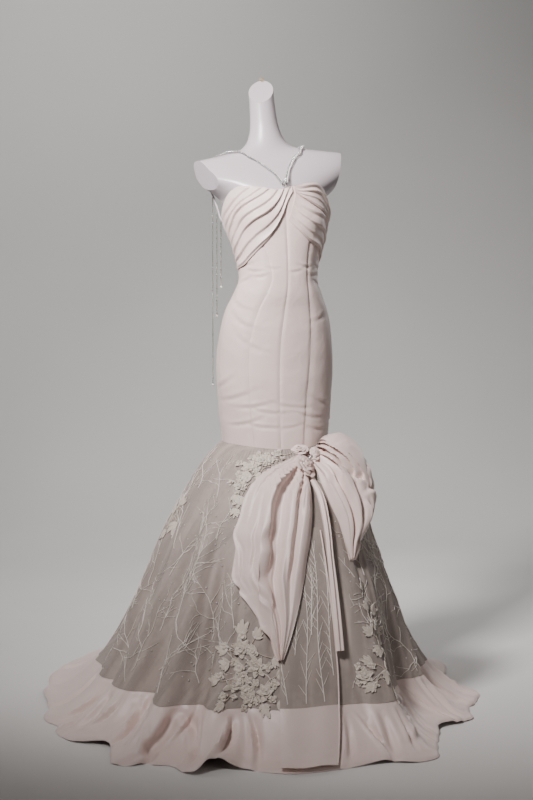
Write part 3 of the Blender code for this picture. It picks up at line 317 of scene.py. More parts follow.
# Rolled edges and puff of the front loop: share across, height over its plain form
LOOP_PROFILE = np.array([
    (0.00, 0.000), (0.10, 0.009), (0.20, 0.007), (0.27, -0.012), (0.33, 0.011), (0.38, 0.010),
    (0.46, -0.007), (0.58, 0.006), (0.72, 0.012), (0.86, 0.009), (1.00, 0.000),
])
LOOP_CREASES = np.array([
    (0.60, 0.47, 0.13, 0.020, -0.0100, 30), (0.74, 0.57, 0.14, 0.020, -0.0095, 14),
    (0.86, 0.42, 0.11, 0.024, -0.0060, -20), (0.68, 0.68, 0.12, 0.020, -0.0075, 36),
    (0.56, 0.24, 0.14, 0.026, -0.0060, 68), (0.80, 0.20, 0.12, 0.030, -0.0050, 48),
    (0.14, 0.52, 0.26, 0.018, -0.0030, 86), (0.90, 0.60, 0.08, 0.022, -0.0050, 6),
])

# Roses: name, angle, height, stand-off, width, tall, thick
ROSES = (
    ("rose_large", 9.5, 0.692, 0.0080, 0.052, 0.068, 0.024),
    ("rose_upper", 13.5, 0.738, 0.0034, 0.048, 0.030, 0.018),
    ("rose_small", 20.6, 0.712, 0.0310, 0.026, 0.040, 0.016),
)
# Rows of rose petals: count, start and end of reach, lift, height, turn in degrees
ROSE_ROWS = (
    (6, 0.34, 1.02, 0.10, 0.42, 0), (5, 0.24, 0.80, 0.28, 0.66, 31),
    (4, 0.12, 0.58, 0.42, 0.86, 12), (3, 0.04, 0.34, 0.55, 1.00, 50),
)

# Lace flowers that stand for the solids: share, angle, radius, petals, turn, lift
FLOWERS = (
    (0.055, -24.0, 0.020, 5, 10, 0.0010), (0.085, -33.0, 0.022, 5, 40, 0.0010),
    (0.150, -36.5, 0.018, 5, 0, 0.0010), (0.030, -11.0, 0.018, 5, 25, 0.0008),
    (0.650, -26.0, 0.026, 5, 15, 0.0010), (0.700, -20.0, 0.028, 6, 0, 0.0010),
    (0.750, -27.0, 0.026, 5, 30, 0.0010), (0.770, -16.5, 0.024, 5, 50, 0.0010),
    (0.792, -22.3, 0.022, 5, 12, 0.0010), (0.690, 28.5, 0.020, 5, 20, 0.0010),
    (0.740, 17.5, 0.022, 5, 40, 0.0017), (0.600, 27.5, 0.018, 5, 0, 0.0014),
)
# Layers of petals: reach, start, width, height, lift of the tip, how many fewer petals
FLOWER_LAYERS = ((1.0, 0.10, 1.7, 0.0008, 0.0026, 0), (0.66, 0.06, 1.5, 0.0026, 0.0036, 1),
                 (0.36, 0.02, 1.0, 0.0042, 0.0044, 2))
BUD_LAYERS = ((1.0, 0.05, 1.7, 0.0008, 0.0026, 0), (0.50, 0.0, 1.2, 0.0022, 0.0030, 1))
# Buds round each flower: how many, how far out and how wide in its radii, and their height
BUDS = 4
BUD_REACH = (1.15, 1.45)
BUD_RADIUS = (0.40, 0.56)
BUD_LIFT = 0.0008
# Share of the skirt for each metre down it
BUD_FALL = 1.15
LACE_WALL = 0.0007
STEM_LIFT = 0.0020
HEART_RADIUS = 0.0028
HEART_LIFT = 0.0070
# Leaflets of a leaf: turn aside in radians, share of its length
LEAF_PARTS = ((0.0, 1.0), (0.9, 0.66), (-0.8, 0.60), (0.45, 0.84), (-0.4, 0.78))
# Flatter lace leaves and buds round them: share, angle, length, direction in degrees
LEAVES = (
    (0.045, -17.0, 0.030, 200), (0.070, -28.5, 0.032, 250), (0.115, -30.0, 0.034, 160),
    (0.125, -37.5, 0.030, 300), (0.185, -34.0, 0.034, 100), (0.180, -39.0, 0.028, 60),
    (0.225, -36.0, 0.030, 95), (0.025, -6.0, 0.026, 180), (0.100, -24.0, 0.026, 120),
    (0.610, -26.5, 0.040, 275), (0.620, -21.0, 0.034, 300), (0.655, -30.5, 0.036, 190),
    (0.690, -29.5, 0.034, 160), (0.675, -14.5, 0.036, 20), (0.725, -13.0, 0.034, 340),
    (0.800, -29.5, 0.032, 140), (0.805, -17.5, 0.034, 60), (0.740, -32.0, 0.030, 180),
    (0.800, -12.8, 0.030, 20), (0.720, -24.5, 0.030, 90), (0.665, -22.5, 0.030, 250),
    (0.560, 26.0, 0.034, 280), (0.575, 30.0, 0.036, 320), (0.625, 24.5, 0.036, 220),
    (0.640, 31.5, 0.038, 340), (0.665, 26.0, 0.036, 140), (0.720, 32.0, 0.036, 20),
    (0.730, 25.5, 0.034, 110), (0.765, 30.0, 0.034, 60), (0.800, 27.0, 0.034, 90),
    (0.705, 21.0, 0.032, 200), (0.765, 19.5, 0.030, 140), (0.500, 28.0, 0.032, 260),
    (0.240, -88.0, 0.036, 280), (0.275, -92.0, 0.034, 240), (0.300, -86.0, 0.036, 80),
    (0.335, -90.0, 0.034, 120), (0.310, 66.0, 0.036, 280), (0.350, 72.0, 0.034, 320),
    (0.390, 66.0, 0.036, 90), (0.430, 70.0, 0.034, 60), (0.150, 150.0, 0.034, 80),
    (0.200, 160.0, 0.034, 260), (0.700, 170.0, 0.036, 90), (0.740, -166.0, 0.036, 70),
)

STRAP_START = (0.0055, -0.0984, 1.4430)
LEFT_STRAP = ((-4.2, 1.4685), (-8.0, 1.4895), (-12.0, 1.5085), (-18.5, 1.5245), (-47.5, 1.5395),
              (-90.0, 1.5405), (-128.0, 1.530), (-138.0, 1.515), (-140.0, 1.500))
RIGHT_STRAP = ((7.2, 1.4795), (10.8, 1.497), (15.8, 1.5155), (32.0, 1.534), (70.0, 1.5425),
               (108.0, 1.5425), (135.0, 1.535), (156.0, 1.515), (163.0, 1.470), (168.0, 1.400),
               (172.0, 1.330), (174.0, 1.2868))
LEFT_STAND_OFF = 0.0050
RIGHT_STAND_OFF = 0.0067
BROOCH = (0.0, -0.1010, 1.4389)
LINK = ((-0.1560, 0.116, 1.444), (-0.1480, 0.100, 1.410), (-0.1420, 0.078, 1.378), (-0.1400, 0.050, 1.352))
LINK_ENDS = ((-91.5, 1.335), (-94.0, 1.316))
LINK_RADIUS = 0.0025
LINK_EASE = 0.0006
STRAND_RADIUS = 0.0022
STRANDS = ((5, 0.518), (8, 0.289), (12, 0.178))

CAMERA_PLACE = (-0.990, -3.876, 1.100)
CAMERA_TURN = (86.5, 0.0, -14.0)
CAMERA_LENS = 43.65
# Lamps: name, place, aim, watts, size, spread in degrees, colour
LAMPS = (
    ("key", (-1.75, -1.8, 2.95), (0.0, 0.0, 1.45), 27.0, 0.5, 58.0, (1.0, 0.96, 0.94)),
    ("fill", (2.0, -3.2, 1.9), (0.0, 0.0, 0.9), 4.0, 1.6, 120.0, (1.0, 0.94, 0.91)),
    ("rim_left", (-2.4, 1.9, 2.4), (0.0, 0.0, 1.0), 6.0, 1.0, 120.0, (1.0, 0.98, 0.97)),
    ("rim_right", (2.6, 1.6, 1.8), (0.2, 0.0, 0.8), 6.0, 1.0, 120.0, (1.0, 0.97, 0.95)),
    ("backdrop", (0.0, 1.3, 4.2), (0.0, 4.0, 0.9), 60.0, 2.0, 130.0, (1.0, 0.98, 0.96)),
)
WORLD_COLOUR = (0.88, 0.84, 0.83, 1.0)
WORLD_STRENGTH = 0.05
FLOOR_COLOURS = ((0.70, 0.69, 0.68, 1.0), (0.76, 0.75, 0.74, 1.0))
# Floor: its reach to each side, how far it runs flat behind, the radius it curves up with, its top
FLOOR_REACH = 9.0
FLOOR_BACK = 2.6
FLOOR_CURVE = 1.6
FLOOR_TOP = 7.0
SEED = 7


def blend(low, high, value):
    """Smooth step from 0 at low to 1 at high."""
    x = np.clip((np.asarray(value, float) - low) / (high - low), 0.0, 1.0)
    return x * x * (3.0 - 2.0 * x)


def curve(x, stations, values):
    """Smooth curve through a table's rows that never overshoots them."""
    stations = np.asarray(stations, float)
    values = np.asarray(values, float)
    x = np.clip(np.asarray(x, float), stations[0], stations[-1])
    step = np.diff(stations)
    slope = np.diff(values) / step
    tangent = np.zeros_like(values)
    same_way = slope[:-1] * slope[1:] > 0
    mean = 2.0 * slope[:-1] * slope[1:] / np.where(same_way, slope[:-1] + slope[1:], 1.0)
    tangent[1:-1] = np.where(same_way, mean, 0.0)
    tangent[0] = slope[0]
    tangent[-1] = slope[-1]
    k = np.clip(np.searchsorted(stations, x, side="right") - 1, 0, len(step) - 1)
    t = (x - stations[k]) / step[k]
    low = values[k] * (1 + 2 * t) * (1 - t) ** 2 + tangent[k] * step[k] * t * (1 - t) ** 2
    high = values[k + 1] * t * t * (3 - 2 * t) + tangent[k + 1] * step[k] * t * t * (t - 1)
    return low + high


def unit(vectors):
    return vectors / np.linalg.norm(vectors, axis=-1, keepdims=True)


def section(table, angle, height):
    """Point at an angle on the oval that a section table gives at a height."""
    width, front, back, centre = (curve(height, table[:, 0], table[:, c]) for c in range(1, 5))
    turn = np.radians(angle)
    depth = np.where(np.cos(turn) > 0, front, back)
    return np.stack([width * np.sin(turn), centre - depth * np.cos(turn), np.asarray(height, float)], -1)


def body_surface(angle, height):
    point = section(BODY, angle, height)
    cups = sum(np.exp(-((angle - side) / BUST_SPREAD) ** 2) for side in (-BUST_ANGLE, BUST_ANGLE))
    rise = BUST_RISE * cups * np.exp(-((height - BUST_HEIGHT) / BUST_TALL) ** 2)
    turn = np.radians(angle)
    return point + rise[..., None] * np.stack([np.sin(turn), -np.cos(turn), 0.0 * turn], -1)


def body_point(angle, height, out=0.0):
    """Outer face of the fitted body, moved out along its own normal."""
    angle = np.asarray(angle, float)
    height = np.asarray(height, float) + 0.0 * angle
    angle = angle + 0.0 * height
    across = body_surface(angle + 0.5, height) - body_surface(angle - 0.5, height)
    along = body_surface(angle, height + 0.002) - body_surface(angle, height - 0.002)
    return body_surface(angle, height) + np.asarray(out, float)[..., None] * unit(np.cross(across, along))


def form_point(angle, height):
    """Surface of the form: just inside the gown to the bust, then chest, shoulders and neck."""
    inset = np.full(np.shape(angle), -SATIN - FORM_EASE)
    below = body_point(angle, np.minimum(height, BODY[-2, 0]), inset)
    above = section(SHOULDERS, angle, height)
    share = blend(*FORM_LEAVES, height)[..., None]
    point = below * (1 - share) + above * share
    point[..., 2] += SHOULDER_TILT * point[..., 0] * blend(*TILT_STARTS, height)
    point[..., 0] -= SHOULDER_TILT * np.maximum(height - TILT_STARTS[1], 0.0)
    return point


def lifted_form_point(angle, height, lift):
    """Point moved out from the form along its own normal."""
    across = form_point(angle + 1.0, height) - form_point(angle - 1.0, height)
    along = form_point(angle, height + 0.002) - form_point(angle, height - 0.002)
    return form_point(angle, height) + lift * unit(np.cross(across, along))


def neckline(angle):
    return curve(angle, NECKLINE[:, 0], NECKLINE[:, 1])


def joint_height(angle):
    return JOINT_HEIGHT - JOINT_DIP * np.exp(-(np.asarray(angle, float) / JOINT_SPREAD) ** 2)


def creases(x, y, table):
    """Soft troughs, each with a raised lip: middle, half length, half width, depth, slope."""
    depth = np.zeros(np.broadcast(x, y).shape)
    for middle_x, middle_y, long, wide, deep, slope in table:
        turn = math.radians(slope)
        along = (x - middle_x) * math.cos(turn) + (y - middle_y) * math.sin(turn)
        across = (y - middle_y) * math.cos(turn) - (x - middle_x) * math.sin(turn)
        side = (across - 0.12 * along * along / long) / wide
        fade = np.exp(-(along / long) ** 2)
        depth = depth + deep * fade * (np.exp(-side ** 2) - LIP * np.exp(-(side - LIP_PLACE) ** 2))
    return depth


def skirt_base(share, angle):
    """Skirt with its folds, arches and train, as its solid has them, and its gathers and lesser folds."""
    train = blend(0.0, 1.0, (np.abs(angle) - TRAIN_START) / TRAIN_RUN)
    front_r, front_z, back_r, back_z, narrow = (curve(share, SKIRT[:, 0], SKIRT[:, c]) for c in range(1, 6))
    radius = front_r + train * (back_r - front_r)
    radius = radius - narrow * np.exp(-((angle - NARROW_SIDE) / NARROW_SPREAD) ** 2)
    height = front_z + train * (back_z - front_z)
    for middle, wide, rise, start in FOLDS:
        radius = radius + rise * blend(start, 1.0, share) * np.exp(-((angle - middle) / wide) ** 2)
    for middle, wide, lift in ARCHES:
        height = height + lift * blend(0.8, 1.0, share) * np.exp(-((angle - middle) / wide) ** 2)
    for middle, wide, rise, start, fade in SOFT_FOLDS:
        shown = blend(start, start + 0.25, share) * (1 - blend(fade - 0.12, fade + 0.12, share))
        radius = radius + SOFT_DEEPER * rise * shown * np.exp(-((angle - middle) / wide) ** 2)
    gather = np.cos(np.radians(GATHER_COUNT * angle) + 2.0 * np.sin(np.radians(7 * angle)))
    radius = radius + GATHER_DEPTH * gather * np.exp(-(share / 0.11) ** 2) * blend(0.0, 0.02, share)
    seam = joint_height(angle)
    start_point = section(BODY, angle, seam)
    turn = np.radians(angle)
    reach = radius - SKIRT[0, 1]
    x = start_point[..., 0] + reach * np.sin(turn)
    y = start_point[..., 1] - reach * np.cos(turn)
    z = height + (seam - JOINT_HEIGHT) * (1 - blend(0.0, 0.3, share)) + HEM_CLEARANCE * blend(0.7, 1.0, share)
    return np.stack([x, y, z], -1)


def skirt_point(share, angle, out=0.0):
    """Point of the skirt's outer face, moved out along its own normal."""
    share, angle, out = (np.asarray(value, float) for value in np.broadcast_arrays(share, angle, out))
    across = skirt_base(share, angle + 0.2) - skirt_base(share, angle - 0.2)
    low = np.minimum(share + 0.004, 1.0)
    high = np.maximum(share - 0.004, 0.0)
    down = skirt_base(low, angle) - skirt_base(high, angle)
    return skirt_base(share, angle) + out[..., None] * unit(np.cross(down, across))


def skirt_share(height):
    """Share of the way down the front of the skirt at a height."""
    return np.interp(-np.asarray(height, float), -SKIRT[:, 2], SKIRT[:, 0])


def smooth_route(points, count):
    """Even points on a smooth curve through a route's own points."""
    points = np.asarray(points, float)
    reach = np.concatenate([[0.0], np.cumsum(np.linalg.norm(np.diff(points, axis=0), axis=1))])
    places = np.linspace(0.0, reach[-1], count)
    return np.stack([curve(places, reach, points[:, c]) for c in range(3)], -1)


def strap_route(table, side, stand_off, count):
    """From behind the brooch up over the shoulder, lying on the form."""
    rows = np.array(table)
    steps = np.linspace(0.0, 1.0, 40)
    stations = np.linspace(0.0, 1.0, len(rows))
    angle = curve(steps, stations, rows[:, 0])
    height = curve(steps, stations, rows[:, 1])
    start = np.array(STRAP_START) * (side, 1.0, 1.0)
    return smooth_route(np.vstack([start, lifted_form_point(angle, height, stand_off)]), count)


class Value:
    """One output of a node tree, with the arithmetic that the materials use."""

    def __init__(self, tree, socket):
        self.tree, self.socket = tree, socket

    def _math(self, operation, first, second=0.0):
        return add_node(self.tree, "ShaderNodeMath", 0, {"operation": operation}, {0: first, 1: second})

    def __add__(self, other):
        return self._math("ADD", self, other)

    __radd__ = __add__

    def __sub__(self, other):
        return self._math("SUBTRACT", self, other)

    def __rsub__(self, other):
        return self._math("SUBTRACT", other, self)

    def __mul__(self, other):
        return self._math("MULTIPLY", self, other)

    __rmul__ = __mul__


def add_node(tree, kind, output, settings=None, values=None):
    """A node of a tree with its settings and inputs; gives the output asked for."""
    node = tree.nodes.new(kind)
    for name, value in (settings or {}).items():
        if name == "ramp":
            for stop, (place, colour) in zip(node.color_ramp.elements, value):
                stop.position = place
                stop.color = colour
        else:
            setattr(node, name, value)
    for name, value in (values or {}).items():
        if isinstance(value, Value):
            tree.links.new(value.socket, node.inputs[name])
        else:
            node.inputs[name].default_value = value
    return Value(tree, node.outputs[output])


class Finish:
    """A material that is being made: its shader, its coordinates and what feeds them."""

    def __init__(self, name, roughness, **constants):
        self.material = bpy.data.materials.new(f"{name}_finish")
        self.material.use_nodes = True
        self.tree = self.material.node_tree
        self.shader = self.tree.nodes["Principled BSDF"]
        self.shader.inputs["Roughness"].default_value = roughness
        for name, value in constants.items():
            self.shader.inputs[name.replace("_", " ")].default_value = value

    def node(self, kind, output, settings=None, values=None):
        return add_node(self.tree, kind, output, settings, values)

    def place(self):
        return self.node("ShaderNodeTexCoord", "Object")

    def cut(self):
        return self.node("ShaderNodeUVMap", "UV", {"uv_map": "cut"})

    def noise(self, where, scale, detail=2.0, distortion=0.0):
        return self.node("ShaderNodeTexNoise", 0, None, {
            "Vector": where, "Scale": scale, "Detail": detail, "Distortion": distortion})

    def stretched(self, where, scale):
        return self.node("ShaderNodeMapping", "Vector", None, {"Vector": where, "Scale": scale})

    def mixed(self, share, first, second):
        return self.node("ShaderNodeMix", 2, {"data_type": "RGBA"}, {0: share, 6: first, 7: second})

    def step(self, value, low, high, start=0.0, end=1.0):
        return self.node("ShaderNodeMapRange", 0, {"interpolation_type": "SMOOTHSTEP"}, {
            0: value, 1: low, 2: high, 3: start, 4: end})

    def bump(self, height, distance, strength=1.0, under=None):
        values = {"Height": height, "Distance": distance, "Strength": strength}
        if under is not None:
            values["Normal"] = under
        return self.node("ShaderNodeBump", "Normal", None, values)

    def feed(self, name, value):
        self.tree.links.new(value.socket, self.shader.inputs[name])


def rgba(colour, dim=1.0):
    return (colour[0] * dim, colour[1] * dim, colour[2] * dim, 1.0)


def satin_finish(colour):
    """Duchess satin: tight weave, soft broad gloss and faint puckers."""
    made = Finish("satin", 0.42, Sheen_Weight=0.15, Sheen_Roughness=0.4, Specular_IOR_Level=0.5)
    place, cut = made.place(), made.cut()
    tone = made.noise(place, 5.0, 3.0)
    made.feed("Base Color", made.mixed(made.step(tone, 0.35, 0.65), rgba(colour, 0.96), rgba(colour)))
    rows = made.node("ShaderNodeTexWave", "Fac", {"bands_direction": "Y"}, {
        "Vector": cut, "Scale": 420.0, "Distortion": 0.6, "Detail": 1.0})
    slub = made.noise(made.stretched(cut, (30.0, 900.0, 1.0)), 1.0, 2.0)
    made.feed("Roughness", 0.37 + 0.10 * made.noise(place, 38.0, 3.0))
    weave = made.bump(rows + slub, 0.00006, 0.35)
    pucker = made.bump(made.noise(place, 22.0, 2.0, 0.5), 0.0030, 0.7, weave)
    made.feed("Normal", pucker)
    return made.material


def tulle_finish(net, shaded_lining, cell):
    """Fine net over a dull cloth behind it, with the stretched mottle of two layers that move apart; that
    cloth's colour is darkened as painted shade of the skirt's inside seen through the net.
    """
    made = Finish("tulle", 0.72, Sheen_Weight=0.12, Sheen_Roughness=0.4, Specular_IOR_Level=0.25)
    place, cut = made.place(), made.cut()
    edge = made.node("ShaderNodeTexVoronoi", 0, {"feature": "DISTANCE_TO_EDGE"}, {
        "Vector": cut, "Scale": 1.0 / cell, "Randomness": 0.25})
    thread = 1.0 - made.step(edge, 0.06, 0.22)
    long_mottle = made.noise(made.stretched(cut, (26.0, 4.5, 1.0)), 1.0, 4.0, 0.5)
    fine_mottle = made.noise(place, 60.0, 3.0)
    lay = made.step(long_mottle + 0.25 * fine_mottle, 0.48, 0.80)
    # Ground: the cloth behind the net, its colour darkened as painted shade of the skirt's inside, mottled
    # lighter and darker at random
    ground = made.mixed(lay, rgba(shaded_lining, 0.80), rgba(shaded_lining, 1.22))
    made.feed("Base Color", made.mixed(thread * 0.45, ground, rgba(net)))
    made.feed("Roughness", 0.62 + 0.2 * lay)
    made.feed("Normal", made.bump(thread, 0.0002, 0.5, made.bump(long_mottle, 0.0015, 0.4)))
    return made.material


def lace_finish(name, colour, roughness=0.6):
    """Corded thread: matt, with a fine twist."""
    made = Finish(name, roughness, Sheen_Weight=0.3)
    place = made.place()
    twist = made.noise(place, 900.0, 2.0)
    made.feed("Base Color", made.mixed(twist, rgba(colour, 0.86), rgba(colour)))
    made.feed("Roughness", roughness - 0.1 + 0.2 * twist)
    made.feed("Normal", made.bump(twist, 0.0003, 0.6))
    return made.material


def form_finish(colour):
    """White moulded shell, smooth with faint ripples and a few dull patches."""
    made = Finish("form", 0.32, Coat_Roughness=0.25, Specular_IOR_Level=0.5)
    place = made.place()
    patch = made.noise(place, 7.0, 3.0)
    made.feed("Base Color", made.mixed(patch, rgba(colour, 0.97), rgba(colour)))
    made.feed("Roughness", 0.26 + 0.16 * patch)
    made.feed("Normal", made.bump(made.noise(place, 40.0, 2.0), 0.0003, 0.3))
    return made.material


def bead_finish(name, colour, metallic, roughness):
    """Bead, crystal or metal: bright, with tiny scratches and tone from piece to piece."""
    made = Finish(name, roughness, Metallic=metallic, Specular_IOR_Level=0.8)
    place = made.place()
    tone = made.noise(place, 160.0, 2.0)
    made.feed("Base Color", made.mixed(made.step(tone, 0.3, 0.7), rgba(colour, 0.72), rgba(colour)))
    made.feed("Roughness", roughness + 0.15 * tone)
    made.feed("Normal", made.bump(made.noise(place, 700.0, 1.0), 0.0002, 0.3))
    return made.material


def finish_of(name):
    """The gown's own material of that name, made once from the scene's colours."""
    found = bpy.data.materials.get(f"{name}_finish")
    if found:
        return found
    colours = bpy.context.scene.gown_colours
    sizes = bpy.context.scene.gown_sizes
    makers = {
        "satin": lambda: satin_finish(colours.satin),
        "tulle": lambda: tulle_finish(colours.net, colours.shaded_lining, sizes.net_cell),
        "lace": lambda: lace_finish("lace", colours.lace),
        "cording": lambda: lace_finish("cording", colours.cording, 0.5),
        "form": lambda: form_finish(colours.form),
        "silver": lambda: bead_finish("silver", colours.silver, 1.0, 0.16),
        "crystal": lambda: bead_finish("crystal", colours.crystal, 0.5, 0.06),
        "pearl": lambda: bead_finish("pearl", colours.pearl, 0.0, 0.22),
        "brass": lambda: bead_finish("brass", colours.brass, 1.0, 0.3),
        "steel": lambda: bead_finish("steel", colours.steel, 0.6, 0.4),
    }
    return makers[name]()


def lengths(grid, axis):
    """Running length over a grid along one axis, from 0."""
    step = np.linalg.norm(np.diff(grid, axis=axis), axis=-1)
    start = np.zeros_like(np.take(step, [0], axis=axis))
    return np.concatenate([start, np.cumsum(step, axis=axis)], axis=axis)


def mesh_object(name, points, faces, finish, uv=None):
    """Smooth object from points and faces, with creased edges where they turn sharply."""
    mesh = bpy.data.meshes.new(name)
    mesh.from_pydata(points.tolist(), [], faces if isinstance(faces, list) else faces.tolist())
    if uv is not None:
        layer = mesh.uv_layers.new(name="cut")
        corners = np.empty(len(mesh.loops), np.int32)
        mesh.loops.foreach_get("vertex_index", corners)
        layer.data.foreach_set("uv", uv[corners].astype(np.float32).ravel())
    mesh.materials.append(finish)
    mesh.shade_smooth()
    mesh.set_sharp_from_angle(angle=math.radians(55))
    made = bpy.data.objects.new(name, mesh)
    bpy.context.scene.collection.objects.link(made)
    return made


def wall(outer, inner):
    """Points, faces and cut places of a closed wall between two grids, facing outwards."""
    rows, columns = outer.shape[:2]
    number = np.arange(rows * columns).reshape(rows, columns)
    far = number + rows * columns
    quads = np.stack([number[:-1, :-1], number[:-1, 1:], number[1:, 1:], number[1:, :-1]], -1).reshape(-1, 4)
    rim = np.concatenate([number[0, :], number[1:, -1], number[-1, -2::-1], number[-2:0:-1, 0]])
    next_rim = np.roll(rim, -1)
    offset = rows * columns
    sides = np.stack([rim, rim + offset, next_rim + offset, next_rim], -1)
    faces = np.concatenate([quads, (far.ravel()[quads])[:, ::-1], sides])
    middle = (rows // 2, columns // 2)
    across = outer[middle[0], middle[1] + 1] - outer[middle]
    along = outer[middle[0] + 1, middle[1]] - outer[middle]
    if np.dot(np.cross(across, along), outer[middle] - inner[middle]) < 0:
        faces = faces[:, ::-1]
    points = np.concatenate([outer.reshape(-1, 3), inner.reshape(-1, 3)])
    places = np.stack([lengths(outer, 1), lengths(outer, 0)], -1).reshape(-1, 2)
    return points, faces, np.concatenate([places, places])


def settle(piece, nodes):
    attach(piece, "root")
    if nodes:
        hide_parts(*nodes)
    return piece


def cloth(name, outer, inner, finish, nodes):
    """A sheet of cloth between two grids; the size that it was cut to is worked out as well."""
    points, faces, places = wall(outer, inner)
    piece = settle(mesh_object(name, points, faces, finish_of(finish), places), nodes)
    width = float(lengths(outer, 1)[:, -1].max())
    length = float(lengths(outer, 0)[-1].max())
    across = outer[:-1, 1:] - outer[:-1, :-1]
    down = outer[1:, :-1] - outer[:-1, :-1]
    area = float(np.linalg.norm(np.cross(across, down), axis=-1).sum())
    width = min(width, area / (LEAST_FILL * length))
    return piece


def line_object(name, routes, thickness=None):
    """Loose polylines in one mesh, with each point's thickness as an attribute."""
    points = np.concatenate(routes)
    edges, first = [], 0
    for route in routes:
        edges += [(first + k, first + k + 1) for k in range(len(route) - 1)]
        first += len(route)
    mesh = bpy.data.meshes.new(name)
    mesh.from_pydata(points.tolist(), edges, [])
    layer = mesh.attributes.new("thick", "FLOAT", "POINT")
    values = np.ones(len(points)) if thickness is None else np.concatenate(thickness)
    layer.data.foreach_set("value", values.astype(np.float32))
    made = bpy.data.objects.new(name, mesh)
    bpy.context.scene.collection.objects.link(made)
    return made


def grow(name, source, build, values, finish):
    """Runs a geometry tree on a source object and gives its result as a plain mesh object."""
    tree = bpy.data.node_groups.new(name, "GeometryNodeTree")
    tree.interface.new_socket(name="Geometry", in_out="INPUT", socket_type="NodeSocketGeometry")
    tree.interface.new_socket(name="Geometry", in_out="OUTPUT", socket_type="NodeSocketGeometry")
    sockets = {}
    for title, value in values.items():
        kind = "NodeSocketInt" if isinstance(value, int) else "NodeSocketFloat"
        sockets[title] = tree.interface.new_socket(name=title, in_out="INPUT", socket_type=kind).identifier
    entry = tree.nodes.new("NodeGroupInput")
    given = {title: Value(tree, entry.outputs[title]) for title in ("Geometry", *values)}
    grown = build(tree, given)
    whole = add_node(tree, "GeometryNodeRealizeInstances", 0, None, {0: grown})
    smooth = add_node(tree, "GeometryNodeSetShadeSmooth", 0, None, {0: whole})
    dressed = add_node(tree, "GeometryNodeSetMaterial", 0, None, {0: smooth, "Material": finish})
    leave = tree.nodes.new("NodeGroupOutput")
    tree.links.new(dressed.socket, leave.inputs[0])
    modifier = source.modifiers.new(name, "NODES")
    modifier.node_group = tree
    for title, value in values.items():
        modifier[sockets[title]] = value
    graph = bpy.context.evaluated_depsgraph_get()
    mesh = bpy.data.meshes.new_from_object(source.evaluated_get(graph))
    mesh.name = name
    bpy.data.objects.remove(source, do_unlink=True)
    made = bpy.data.objects.new(name, mesh)
    bpy.context.scene.collection.objects.link(made)
    return made


def bead_tree(tree, given):
    """A bead on each step along every line."""
    line = add_node(tree, "GeometryNodeMeshToCurve", 0, None, {0: given["Geometry"]})
    spaced = add_node(tree, "GeometryNodeResampleCurve", 0, {"mode": "LENGTH"}, {
        0: line, "Length": given["Spacing"]})
    ball = add_node(tree, "GeometryNodeMeshUVSphere", 0, None, {
        "Segments": 8, "Rings": 6, "Radius": given["Radius"]})
    return add_node(tree, "GeometryNodeInstanceOnPoints", 0, None, {0: spaced, "Instance": ball})


def cord_tree(tree, given):
    """A round cord along every line, as thick as its points say."""
    line = add_node(tree, "GeometryNodeMeshToCurve", 0, None, {0: given["Geometry"]})
    ring = add_node(tree, "GeometryNodeCurvePrimitiveCircle", 0, None, {
        "Resolution": given["Sides"], "Radius": given["Radius"]})
    thick = add_node(tree, "GeometryNodeInputNamedAttribute", 0, {"data_type": "FLOAT"}, {"Name": "thick"})
    return add_node(tree, "GeometryNodeCurveToMesh", 0, None, {
        "Curve": line, "Profile Curve": ring, "Scale": thick, "Fill Caps": True})


def sequin_tree(tree, given):
    """Small cups scattered over a face, each lying on it."""
    spots = tree.nodes.new("GeometryNodeDistributePointsOnFaces")
    tree.links.new(given["Geometry"].socket, spots.inputs["Mesh"])
    tree.links.new(given["Density"].socket, spots.inputs["Density"])
    tree.links.new(given["Seed"].socket, spots.inputs["Seed"])
    cup = add_node(tree, "GeometryNodeMeshCone", 0, None, {
        "Vertices": 7, "Radius Top": given["Top"], "Radius Bottom": given["Radius"], "Depth": given["Depth"]})
    return add_node(tree, "GeometryNodeInstanceOnPoints", 0, None, {
        0: Value(tree, spots.outputs["Points"]), "Instance": cup,
        "Rotation": Value(tree, spots.outputs["Rotation"])})


def join(name, parts):
    """One object from several plain mesh objects."""
    builder = bmesh.new()
    materials = []
    for part in parts:
        before = len(builder.faces)
        builder.from_mesh(part.data)
        builder.faces.ensure_lookup_table()
        for slot in part.data.materials:
            if slot not in materials:
                materials.append(slot)
        own = [materials.index(slot) for slot in part.data.materials]
        for face in builder.faces[before:]:
            face.material_index = own[face.material_index]
    mesh = bpy.data.meshes.new(name)
    builder.to_mesh(mesh)
    builder.free()
    for slot in materials:
        mesh.materials.append(slot)
    for part in parts:
        bpy.data.objects.remove(part, do_unlink=True)
    made = bpy.data.objects.new(name, mesh)
    bpy.context.scene.collection.objects.link(made)
    return made


class GownSizes(bpy.types.PropertyGroup):
    """Sizes that a user would change."""

    satin_wall: bpy.props.FloatProperty(
        name="Satin thickness", description="Wall of the lined satin", default=0.0018, unit="LENGTH")
    tulle_wall: bpy.props.FloatProperty(
        name="Tulle thickness", description="Wall of the net and its lining", default=0.0012, unit="LENGTH")
    seam_dip: bpy.props.FloatProperty(
        name="Seam dip", description="How deep the cloth pulls in at a seam", default=0.0022, unit="LENGTH")
    net_cell: bpy.props.FloatProperty(
        name="Net cell", description="Width of one cell of the net", default=0.0016, unit="LENGTH")
    cord_radius: bpy.props.FloatProperty(
        name="Cord radius", description="Radius of the embroidered branches", default=0.0012, unit="LENGTH")
    sequin_radius: bpy.props.FloatProperty(
        name="Sequin radius", description="Radius of one sequin", default=0.0021, unit="LENGTH")
    sequin_density: bpy.props.FloatProperty(
        name="Sequins", description="Sequins for each square metre of tulle", default=330.0)
    strap_bead: bpy.props.FloatProperty(
        name="Strap bead", description="Radius of the larger strap beads", default=0.0026, unit="LENGTH")
    strand_bead: bpy.props.FloatProperty(
        name="Strand bead", description="Radius of the hanging strands' beads", default=0.0021, unit="LENGTH")


def colour_property(name, description, default):
    return bpy.props.FloatVectorProperty(
        name=name, description=description, subtype="COLOR", size=3, min=0.0, max=1.0, default=default)


